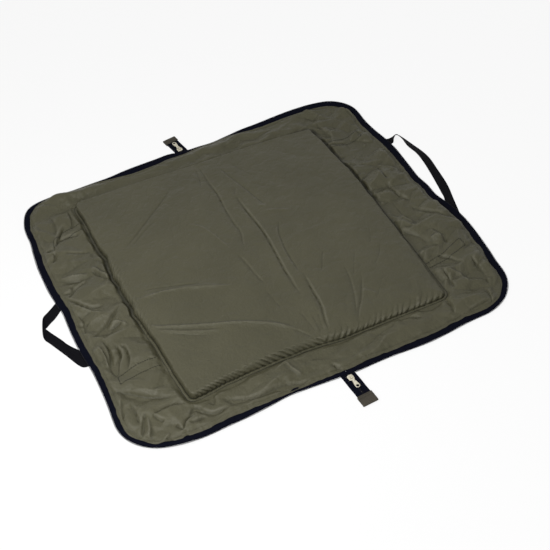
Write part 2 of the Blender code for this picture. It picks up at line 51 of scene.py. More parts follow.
# the mat's own sizes, in metres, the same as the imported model's
mat = {
    "halfWidth": 0.365,
    "halfDepth": 0.350,
    "corner": 0.094,
    "rimInset": 0.012,          # the cover stops this far inside the rim
    "padX": 0.245,              # the padded panel, from the middle to its seams
    "padY": 0.272,
    "baseLow": 0.0017,          # from here on heights above the floor
    "baseHigh": 0.0025,
    "tapeLow": 0.0028,
    "tapeHigh": 0.0034,
    "teethHeight": 0.0031,
    "seamHeight": 0.0044,
    "padEdge": 0.0170,
    "crownRise": 0.0045,
    "foldSag": 0.0012,
    "foldHalf": 0.019,
    "foldStart": 0.027,         # a half starts to bend this far from the middle
    "foldDone": 0.012,          # and has turned into the middle strip here
    "handleLine": 0.3695,
    "teethAcross": 0.0020,
    "teethRoom": 0.0013,        # over and under the teeth, within a slider or a tab
}

# how the soft rim lies: every 5 degrees from the left side, on round by the near side, in mm
rim = {
    "sway": (
        -3.5, -2.5, -2.7, -5, -7, -6.7, -5.2, -2, -1.2, -2.2, -3.2, 1, -0.7, -2, -5, -8.5, -7.5, -5, -2.6,
        -0.6, -1.2, -1, 1.3, 3, 0.5, -3.7, -4.5, -5, -5.5, -5.2, 1, 5.8, 9, 8.8, 5, -1, -0.2, -2.7, -0.5,
        1.8, 3.8, 1.8, -2.7, -4, 2, 0.8, -4.5, -2.2, -2, -0.7, 1, -0.7, -3.6, -0.6, 0.6, 4.5, -0.5, -2.5,
        -2.2, -4.5, -4.2, -5.5, -1.5, 6, -2.2, -7.7, -3.2, 0.5, 1.3, 1.3, -1.2, -4.6,
    ),
    "lift": (
        0, 0, 0, 0, 0, 0, 0, 0, 0, 0.5, 1, 0.5, 0, 0, 0, 0.5, 0, 0, 0, 0, 0, 0, 0, 0, 0, 0, 0, 0, 0, 0, 0,
        0, 0, 0, 0, 0, 0, 0, 0, 0, 0, 0, 0, 1, 5, 8, 9, 9, 8, 5, 3, 1, 0.5, 0, 0, 3, 6.5, 8, 7, 6, 6, 7, 8,
        8, 5, 2, 0, 0, 0, 0, 0, 0,
    ),
    # of the zip tape, outside the cover's hem
    "tapeShown": (
        14, 14.3, 14, 13.6, 13.2, 13, 12.3, 11.5, 10.5, 10, 12, 14.2, 15.5, 14, 10, 5.5, 7.3, 9.3, 11,
        12.7, 13.6, 12.2, 13.5, 15, 13.6, 14.2, 12.5, 10.8, 13.2, 13.8, 12, 13.5, 11.8, 13.6, 14, 14.4,
        14.6, 15, 14.2, 14.6, 15, 14.4, 14.6, 15, 15.5, 16, 16, 15.5, 15.5, 14.5, 9.5, 3, 2, 4, 9, 15, 16,
        17, 16, 7.5, 2, 1.5, 2.5, 11, 13.8, 12.5, 14.5, 13.8, 13.8, 14.2, 14.2, 14,
    ),
    "swayFade": 0.060,
    "liftReach": 0.052,
    "hemFade": 0.030,
    "squareness": 5,
}


def smooth(value):
    value = np.clip(value, 0.0, 1.0)
    return value * value * (3 - 2 * value)


def turned(x, y, degrees):
    c, s = math.cos(math.radians(degrees)), math.sin(math.radians(degrees))
    return x * c + y * s, y * c - x * s


# a random table's values at the corners of each point's cell, and the place in the cell
def readCells(table, u, v):
    i, j = np.floor(u).astype(int), np.floor(v).astype(int)
    corners = [table[(i + a) % len(table), (j + b) % len(table)] for a in (0, 1) for b in (0, 1)]
    return corners, u - i, v - j


# smooth hills and hollows from -1 to 1, the same on every run
def softNoise(x, y, cell, seed):
    table = np.random.RandomState(seed).uniform(-1, 1, (64, 64))
    (h00, h01, h10, h11), fu, fv = readCells(table, x / cell + 31.7, y / cell + 17.3)
    fu, fv = smooth(fu), smooth(fv)
    return (h00 * (1 - fv) + h01 * fv) * (1 - fu) + (h10 * (1 - fv) + h11 * fv) * fu


def lineNoise(t, cell, seed):
    return softNoise(t, 0 * t, cell, seed)


# flat facets between straight folds, like nylon that has been packed away
def facets(x, y, cell, stretch, turn, seed):
    wander = 1.9 * cell
    px = x + 0.45 * cell * softNoise(x, y, wander, seed + 1)
    py = y + 0.45 * cell * softNoise(x, y, wander, seed + 2)
    u, v = turned(px, py, turn)
    u, v = u / (cell * stretch) + 53.2, v / cell + 47.9
    random = np.random.RandomState(seed)
    heights, splits = (random.uniform(-1, 1, (128, 128)) for _ in range(2))
    (h00, h01, h10, h11), f, g = readCells(heights, u, v)
    rising = np.where(f > g, h00 + f * (h10 - h00) + g * (h11 - h10),
                      h00 + g * (h01 - h00) + f * (h11 - h01))
    falling = np.where(f + g < 1, h00 + f * (h10 - h00) + g * (h01 - h00),
                       h11 + (1 - f) * (h01 - h11) + (1 - g) * (h10 - h11))
    return np.where(readCells(splits, u, v)[0][0] > 0, rising, falling)


# nylon facets, in layers: height mm, cell mm, stretch, turn in degrees, seed
facetLayers = {
    "pad": ((0.60, 22, 2.6, -35, 31), (0.18, 7, 2.0, 20, 35)),
    "padNear": ((0.80, 8.5, 5.0, 62, 41),),
    "padLeft": ((0.70, 10, 4.0, 25, 43),),
    "sideBorder": ((4.6, 25, 1.7, -24, 11), (1.2, 12, 2.0, 28, 17)),
    "endBorder": ((3.4, 18, 3.2, 7, 21), (1.0, 10, 2.4, -20, 27)),
    "base": ((0.6, 38, 2.4, 15, 33),),
}


def facetFolds(where, x, y):
    return sum(mm * height * facets(x, y, mm * cell, *rest) for height, cell, *rest in facetLayers[where])


# the curve from b to c, with a before them and d after
def curveStep(a, b, c, d, t):
    return 0.5 * (2 * b + (c - a) * t + (2 * a - 5 * b + 4 * c - d) * t**2 + (3 * b - a - 3 * c + d) * t**3)


# a value read from a table that goes once round the mat, starting at the left side
def aroundTable(table, x, y):
    values = np.asarray(table, float)
    place = (np.arctan2(y, x) / (2 * np.pi) + 0.5) * len(values)
    k = np.floor(place).astype(int)
    return curveStep(*(values[(k + s) % len(values)] for s in (-1, 0, 1, 2)), place - k)


# distance outside a rounded rectangle, less than zero inside it
def outsideOf(x, y, halfX, halfY, radius):
    dx, dy = np.abs(x) - (halfX - radius), np.abs(y) - (halfY - radius)
    return np.hypot(np.maximum(dx, 0), np.maximum(dy, 0)) + np.minimum(np.maximum(dx, dy), 0) - radius


def rimDistance(x, y):
    return outsideOf(x, y, mat["halfWidth"], mat["halfDepth"], mat["corner"])


def outward(x, y):
    ox, oy = (x / mat["halfWidth"])**rim["squareness"], (y / mat["halfDepth"])**rim["squareness"]
    size = np.maximum(np.hypot(ox, oy), 1e-9)
    return ox / size, oy / size


# takes flat points to where the soft rim really lies
def layDown(points):
    x, y, z = np.moveaxis(points, -1, 0)
    distance = rimDistance(x, y)
    ox, oy = outward(x, y)
    move = mm * aroundTable(rim["sway"], x, y) * smooth(1 + distance / rim["swayFade"])
    lift = mm * aroundTable(rim["lift"], x, y) * smooth(1 + distance / rim["liftReach"])
    return np.stack([x + move * ox, y + move * oy, z + np.maximum(lift, 0)], axis=-1)


# a plain rectangle's points to a rounded one's, leaving the middle as it is
def roundCorners(x, y, inset):
    radius = mat["corner"] - inset
    cx, cy = mat["halfWidth"] - inset - radius, mat["halfDepth"] - inset - radius
    dx, dy = (np.abs(x) - cx) / radius, (np.abs(y) - cy) / radius
    both = (dx > 0) & (dy > 0)
    nx = np.where(both, dx * np.sqrt(np.clip(1 - dy * dy / 2, 0, 1)), dx)
    ny = np.where(both, dy * np.sqrt(np.clip(1 - dx * dx / 2, 0, 1)), dy)
    return np.sign(x) * (cx + nx * radius), np.sign(y) * (cy + ny * radius)


def unit(vectors):
    return vectors / np.maximum(np.linalg.norm(vectors, axis=-1, keepdims=True), 1e-12)


def pathLengths(points):
    return np.concatenate([[0], np.cumsum(np.linalg.norm(np.diff(points, axis=0), axis=1))])


def readAlong(places, lengths, values):
    return np.stack([np.interp(places, lengths, column) for column in values.T], -1)


def evenSteps(points, step):
    points = np.asarray(points, float)
    lengths = pathLengths(points)
    count = max(int(round(lengths[-1] / step)), 2)
    return readAlong(np.linspace(0, lengths[-1], count + 1), lengths, points)


# one smooth curve through the given points
def throughPoints(points, perStep):
    points = np.asarray(points, float)
    padded = np.concatenate([[2 * points[0] - points[1]], points, [2 * points[-1] - points[-2]]])
    made = [curveStep(*padded[k:k + 4], t)
            for k in range(len(points) - 1) for t in np.arange(perStep) / perStep]
    return np.array(made + [points[-1]])


# the directions across and up at each point of a path that lies nearly flat
def pathFrame(centres):
    along = unit(np.gradient(np.asarray(centres, float), axis=0))
    across = unit(np.cross(along, (0, 0, 1)))
    return across, np.cross(across, along)


def gridOf(first, second):
    return np.stack(np.broadcast_arrays(first, second), -1)


# quads between two rings of vertex numbers
def joinRings(first, second):
    return np.stack([first, np.roll(first, -1), np.roll(second, -1), second], 1).tolist()


# one mesh object from points, faces and flat cloth coordinates
def makePiece(name, points, faces, material, clothUv=None, softEdge=60, shading=None):
    points = np.asarray(points, float)
    mesh = bpy.data.meshes.new(name)
    if isinstance(faces, np.ndarray):           # a big grid, wound one way all over
        a, b, c, d = (points[faces[:, k]] for k in range(4))
        inverted = (a * (np.cross(b, c) + np.cross(c, d))).sum() < 0
        mesh.from_pydata(points.tolist(), [], (faces[:, ::-1] if inverted else faces).tolist())
    else:
        mesh.from_pydata(points.tolist(), [], faces)
        shape = bmesh.new()
        shape.from_mesh(mesh)
        bmesh.ops.recalc_face_normals(shape, faces=shape.faces[:])
        shape.to_mesh(mesh)
        shape.free()
    if clothUv is not None:
        corners = np.zeros(len(mesh.loops), dtype=np.int32)
        mesh.loops.foreach_get("vertex_index", corners)
        layer = mesh.uv_layers.new(name="UVMap")
        layer.data.foreach_set("uv", np.asarray(clothUv, np.float32)[corners].ravel())
    # painted shading per point, kept as an attribute for the nylon's colour
    if shading is not None:
        attribute = mesh.attributes.new("painted_shading", "FLOAT", "POINT")
        attribute.data.foreach_set("value", np.asarray(shading, np.float32).ravel())
    mesh.polygons.foreach_set("use_smooth", np.ones(len(mesh.polygons), dtype=bool))
    mesh.set_sharp_from_angle(angle=math.radians(softEdge))
    mesh.materials.append(material)
    piece = bpy.data.objects.new(name, mesh)
    bpy.context.scene.collection.objects.link(piece)
    return piece


# a closed thin shell from a grid of top points and a grid of low points
def makeShell(name, top, low, material, flat, softEdge=60, shading=None):
    count = top.shape[0] * top.shape[1]
    index = np.arange(count).reshape(top.shape[:2])
    quads = np.stack([index[:-1, :-1], index[:-1, 1:], index[1:, 1:], index[1:, :-1]], -1).reshape(-1, 4)
    faces = [quads, quads[:, ::-1] + count]
    for line in (index[0], index[:, -1], index[-1, ::-1], index[::-1, 0]):
        faces.append(np.stack([line[:-1], line[:-1] + count, line[1:] + count, line[1:]], 1))
    points = np.concatenate([top.reshape(-1, 3), low.reshape(-1, 3)])
    shellShading = None if shading is None else np.tile(shading.ravel(), 2)
    return makePiece(name, points, np.concatenate(faces), material, np.tile(flat.reshape(-1, 2), (2, 1)),
                     softEdge, shellShading)


# an outline carried along a path; its ends are closed
def sweepAlong(centres, across, ups, outline):
    centres, outline = np.asarray(centres, float), np.asarray(outline, float)
    rings = centres[:, None] + across[:, None] * outline[:, :1] + ups[:, None] * outline[:, 1:]
    index = np.arange(rings.shape[0] * rings.shape[1]).reshape(rings.shape[:2])
    faces = [quad for k in range(len(index) - 1) for quad in joinRings(index[k], index[k + 1])]
    faces += [index[0, ::-1].tolist(), index[-1].tolist()]
    uv = gridOf(pathLengths(centres)[:, None], pathLengths(outline)[None, :])
    return rings.reshape(-1, 3), faces, uv.reshape(-1, 2)


print("sizes and helpers ready")


def addNode(tree, kind, inputs=None, **settings):
    node = tree.nodes.new(kind)
    for key, value in settings.items():
        setattr(node, key, value)
    for key, value in (inputs or {}).items():
        if isinstance(value, bpy.types.NodeSocket):
            tree.links.new(value, node.inputs[key])
        else:
            node.inputs[key].default_value = value
    return node


# each of the next six adds a node to the tree that its first socket belongs to
def noiseOf(place, scale, detail=3.0, rough=0.5):
    values = {"Vector": place, "Scale": scale, "Detail": detail, "Roughness": rough}
    return addNode(place.id_data, "ShaderNodeTexNoise", values).outputs["Fac"]


def bands(place, scale, along, twist=0.0):
    values = {"Vector": place, "Scale": scale, "Distortion": twist}
    return addNode(place.id_data, "ShaderNodeTexWave", values, wave_type="BANDS",
                   bands_direction=along).outputs["Fac"]


def spread(value, low, high, newLow=0.0, newHigh=1.0):
    values = {"Value": value, "From Min": low, "From Max": high, "To Min": newLow, "To Max": newHigh}
    return addNode(value.id_data, "ShaderNodeMapRange", values).outputs["Result"]


def calc(kind, first, second=0.0):
    return addNode(first.id_data, "ShaderNodeMath", {0: first, 1: second}, operation=kind).outputs[0]


def raised(height, distance, under=None):
    values = {"Height": height, "Distance": distance, "Strength": 1.0}
    if under is not None:
        values["Normal"] = under
    return addNode(height.id_data, "ShaderNodeBump", values).outputs["Normal"]


def blendColours(amount, first, second):
    first, second = (tone(colour) if isinstance(colour, str) else colour for colour in (first, second))
    values = {0: amount, 6: first, 7: second}
    return addNode(amount.id_data, "ShaderNodeMix", values, data_type="RGBA").outputs[2]


def startMaterial(name):
    material = bpy.data.materials.new(name)
    material.use_nodes = True
    coordinates = addNode(material.node_tree, "ShaderNodeTexCoord")
    return material, coordinates.outputs["Object"], coordinates.outputs["UV"]


def endMaterial(material, colour, rough, normal, **constants):
    shader = material.node_tree.nodes["Principled BSDF"]
    for label, socket in (("Base Color", colour), ("Roughness", rough), ("Normal", normal)):
        material.node_tree.links.new(socket, shader.inputs[label])
    for label, value in constants.items():
        shader.inputs[{"shine": "Specular IOR Level", "metal": "Metallic"}[label]].default_value = value
    return material


finishes = {
    "nylon": (0.066, 0.062, 0.036),
    "nylonLight": (0.073, 0.069, 0.041),
    "nylonDark": (0.058, 0.055, 0.032),
    # painted shade for folds, seam grooves, trenches and the panel's walls, and painted highlight for ridges
    "nylonFoldShade": (0.015, 0.015, 0.008),
    "nylonRidgeHighlight": (0.130, 0.124, 0.092),
    "tape": (0.0022, 0.0027, 0.0066),
    "tapeLight": (0.0048, 0.0056, 0.0120),
    "teeth": (0.0028, 0.0028, 0.0050),
    "webbing": (0.0034, 0.0034, 0.0048),
    "webbingLight": (0.0090, 0.0088, 0.0110),
    "tab": (0.072, 0.064, 0.049),
    "tabDark": (0.036, 0.032, 0.024),
    "metal": (0.55, 0.51, 0.39),
    "metalWorn": (0.66, 0.62, 0.51),
    "metalDull": (0.20, 0.18, 0.13),
    "thread": (0.010, 0.010, 0.006),
    "threadLight": (0.028, 0.027, 0.018),
    "foam": (0.52, 0.52, 0.49),
    "foamDark": (0.36, 0.36, 0.33),
    "floor": (0.93, 0.93, 0.93),
}


def tone(key, dim=1.0):
    return tuple(c * dim for c in finishes[key]) + (1,)


# thin coated nylon: plain weave and crinkles, with painted shade in folds, seams and trenches and painted
# highlights on ridges
def nylonCloth(name, dim=1.0):
    material, place, flat = startMaterial(name)
    colour = blendColours(spread(noiseOf(place, 9.0, 4.0, 0.6), 0.3, 0.7), tone("nylonDark", dim),
                          tone("nylonLight", dim))
    fine = spread(noiseOf(place, 260.0, 2.0), 0.35, 0.7, 0.0, 0.35)
    colour = blendColours(fine, colour, tone("nylon", dim))
    # painted shading from the mesh: above zero painted shade in folds, seams and trenches, below zero
    # painted highlight on ridges
    painted_shading = addNode(material.node_tree, "ShaderNodeAttribute", attribute_name="painted_shading").outputs["Fac"]
    colour = blendColours(spread(painted_shading, 0.10, 1.0, 0.0, 0.75), colour, tone("nylonFoldShade", dim))
    colour = blendColours(spread(painted_shading, -0.12, -1.0, 0.0, 0.55), colour, tone("nylonRidgeHighlight", dim))
    rough = spread(noiseOf(place, 60.0), 0.3, 0.7, 0.40, 0.52)
    ridged = calc("ABSOLUTE", calc("SUBTRACT", noiseOf(place, 30.0, 3.0, 0.55), 0.5))
    normal = raised(spread(ridged, 0.0, 0.10), 0.00055)
    normal = raised(noiseOf(place, 70.0, 4.0, 0.62), 0.0008, normal)
    normal = raised(noiseOf(place, 260.0, 3.0, 0.6), 0.00022, normal)
    weave = calc("MULTIPLY", bands(flat, 470.0, "X"), bands(flat, 470.0, "Y"))
    return endMaterial(material, colour, rough, raised(weave, 0.00004, normal), shine=0.22)


# woven zip tape with a herringbone down its length
def tapeCloth(name):
    material, place, flat = startMaterial(name)
    weave = calc("MULTIPLY", bands(flat, 210.0, "DIAGONAL", 0.6), bands(flat, 300.0, "Y"))
    dust = spread(noiseOf(place, 70.0, 4.0, 0.6), 0.45, 0.8, 0.0, 0.6)
    colour = blendColours(calc("MAXIMUM", dust, calc("MULTIPLY", weave, 0.45)), "tape", "tapeLight")
    normal = raised(weave, 0.00012, raised(noiseOf(place, 60.0), 0.0005))
    return endMaterial(material, colour, spread(weave, 0.0, 1.0, 0.82, 0.62), normal, shine=0.03)


# glossy moulded coil
def teethPlastic(name):
    material, place, _ = startMaterial(name)
    speck = noiseOf(place, 500.0)
    colour = blendColours(spread(speck, 0.4, 0.75, 0.0, 0.7), "teeth", "tapeLight")
    rough = spread(speck, 0.3, 0.7, 0.30, 0.48)
    return endMaterial(material, colour, rough, raised(speck, 0.00006), shine=0.15)


# ribbed webbing with fuzzy fibres
def ribbedWebbing(name):
    material, place, flat = startMaterial(name)
    weave = calc("ADD", calc("MULTIPLY", bands(flat, 170.0, "X"), 0.6),
                 calc("MULTIPLY", bands(flat, 250.0, "Y"), 0.4))
    fuzz = noiseOf(place, 420.0, 4.0, 0.7)
    amount = calc("MULTIPLY", spread(weave, 0.2, 1.0), spread(fuzz, 0.3, 0.75, 0.2, 1.0))
    colour = blendColours(amount, "webbing", "webbingLight")
    normal = raised(fuzz, 0.00012, raised(weave, 0.00030))
    return endMaterial(material, colour, spread(fuzz, 0.3, 0.7, 0.58, 0.78), normal, shine=0.03)


# the olive-brown ribbon of the end tabs, ribbed across
def tabRibbon(name):
    material, place, flat = startMaterial(name)
    ribs = bands(flat, 150.0, "X", 0.4)
    dirt = noiseOf(place, 130.0, 4.0, 0.65)
    amount = calc("MULTIPLY", spread(ribs, 0.0, 0.8, 0.35, 1.0), spread(dirt, 0.25, 0.65, 0.35, 1.0))
    colour = blendColours(amount, "tabDark", "tab")
    normal = raised(bands(flat, 330.0, "Y"), 0.00008, raised(ribs, 0.00025))
    return endMaterial(material, colour, spread(dirt, 0.3, 0.7, 0.70, 0.88), normal, shine=0.2)


# pale plated metal, brighter where it rubs and with hairline scratches
def sliderMetal(name):
    material, place, _ = startMaterial(name)
    rubbed = spread(noiseOf(place, 220.0, 4.0, 0.6), 0.42, 0.68)
    pits = spread(noiseOf(place, 900.0, 2.0), 0.62, 0.8, 0.0, 0.8)
    colour = blendColours(pits, blendColours(rubbed, "metal", "metalWorn"), "metalDull")
    normal = raised(rubbed, 0.00004, raised(bands(place, 700.0, "DIAGONAL", 9.0), 0.00002))
    return endMaterial(material, colour, spread(rubbed, 0.0, 1.0, 0.42, 0.26), normal, metal=0.35)


# twisted sewing thread
def sewingThread(name, dark, light):
    material, place, _ = startMaterial(name)
    twist = bands(place, 900.0, "DIAGONAL", 1.5)
    colour = blendColours(calc("MULTIPLY", twist, 0.8), dark, light)
    rough = spread(twist, 0.0, 1.0, 0.68, 0.50)
    return endMaterial(material, colour, rough, raised(twist, 0.00008), shine=0.2)


# pale closed-cell foam
def padFoam(name):
    material, place, _ = startMaterial(name)
    cells = addNode(material.node_tree, "ShaderNodeTexVoronoi", {"Vector": place, "Scale": 640.0},
                    feature="F1").outputs["Distance"]
    stain = spread(noiseOf(place, 14.0, 4.0), 0.35, 0.7)
    amount = calc("MULTIPLY", spread(cells, 0.1, 0.7, 1.0, 0.0), spread(stain, 0.0, 1.0, 0.4, 1.0))
    colour = blendColours(amount, "foam", "foamDark")
    return endMaterial(material, colour, spread(stain, 0.0, 1.0, 0.85, 0.95), raised(cells, 0.0006))


coverNylon = nylonCloth("cover_nylon")
baseNylon = nylonCloth("base_nylon", 0.82)
zipTapeCloth = tapeCloth("zip_tape_cloth")
zipPlastic = teethPlastic("zip_coil_plastic")
blackWebbing = ribbedWebbing("black_webbing")
endRibbon = tabRibbon("end_tab_ribbon")
paleMetal = sliderMetal("pale_plated_metal")
darkThread = sewingThread("dark_thread", "thread", "threadLight")
oliveThread = sewingThread("olive_thread", "nylonDark", "nylonLight")
whiteFoam = padFoam("closed_cell_foam")
print("materials ready")

# the padded panel in the cover: where its seams run, how its edges pucker, and the painted shade beside its
# seams
panel = {
    "cornerRadius": 0.010,
    "secondRow": 0.0052,        # the outer row of stitches, outside the seam
    "grooveWidth": 0.0008,
    "grooveDepth": 0.0016,
    "stripRise": 0.0005,        # of the strip between the two rows
    "hollow": 0.0011,           # how deep the trench draws that strip down, by the strength of its painted shade
    "gentleRun": 0.030,
    # each seam as traced: place along it and its distance from the middle line, in turn, mm
    "seamLeft": (-280, -233.5, -190, -238.5, -120, -240.5, -90, -243, -60, -245, -40, -247.2, -20, -244.5,
                 0, -248.5, 20, -249, 40, -245.5, 60, -250.5, 80, -247, 110, -243.8, 140, -247.2, 200,
                 -247, 300, -247.5),
    "seamRight": (-280, 238.5, -180, 243.5, -100, 247.5, 0, 251.5, 90, 254.5, 165, 252, 270, 247),
    "seamNear": (-250, -271.5, -215, -269, -180, -264, -85, -261.5, -30, -262.5, 2.5, -265.5, 40, -271.5,
                 140, -272.5, 250, -275.8),
    "seamFar": (-250, 298, -120, 290, 0, 283, 120, 279, 250, 267),
    # sixteen places round the panel, from the left side by the near-left corner
    "wallRun": (8, 6, 4.8, 7, 6.5, 5.5, 5, 4, 5, 5, 5, 5, 4, 4, 5, 7),
    "wallShape": (2, 2.2, 2.2, 1.2, 1.35, 2.4, 2.4, 2.8, 2.4, 2.4, 2.2, 4, 6, 7, 4, 2.2),
    "wallSteep": (1, 1, 1, 1, 1, 0.5, 0.5, 0.8, 0.85, 0.9, 1, 1, 1, 1, 1, 1),
    # rowShown and outerShown: depth of each row's groove and strength of the painted shade line along it;
    # trenchDark: painted shade in the trench outside the seam, which also draws the cloth down there;
    # trenchWide: its reach in mm; wallShade: painted shade on the panel's wall
    "rowShown": (1, 1, 1, 1, 1, 1, 1, 1, 1, 1, 1, 0.7, 0.4, 0, 0.5, 1),
    "outerShown": (0.8, 0.1, 0.3, 0.9, 0.9, 0.6, 0.5, 0.8, 0.8, 0.9, 0.8, 0.2, 0.1, 0, 0.4, 0.6),
    "trenchDark": (1.4, 0.15, 0.1, 0.25, 0.3, 0.1, 0.05, 0.1, 0.4, 1.4, 0.9, 0, 0, 0, 0.3, 1.2),
    "trenchWide": (3, 2, 2, 2, 2, 2, 2, 3, 6, 8, 6, 3, 3, 3, 3, 3),
    "wallShade": (1, 1, 0.5, 0.25, 0.2, 0.05, 0, 0.05, 0.05, 0.4, 0.4, 0, 0, 0, 0.3, 0.9),
}

# puckers beside each seam: side, from, to, height mm, pitch mm, reach in, reach out, slant
puckers = (
    ("near", -0.145, 0.02, 2.4, 11, 0.013, 0.003, 0.75),
    ("near", -0.24, -0.13, 2.2, 8.4, 0.013, 0.003, 0.75),
    ("near", 0, 0.242, 1.6, 11, 0.022, 0.003, -0.5),
    ("near", 0.01, 0.242, 0.8, 6.5, 0.013, 0.003, -0.6),
    ("left", -0.24, 0.27, 1.3, 5.6, 0.007, 0.005, 0.8),
    ("left", -0.11, 0.13, 1.6, 10.5, 0.019, 0.006, -1),
    ("right", -0.26, 0.26, 0.5, 6.1, 0.008, 0.006, 0.5),
    ("right", -0.08, 0.12, 1, 9.4, 0.013, 0.01, -0.8),
    ("far", -0.22, 0.22, 0.25, 8, 0.01, 0.006, 0.4),
)

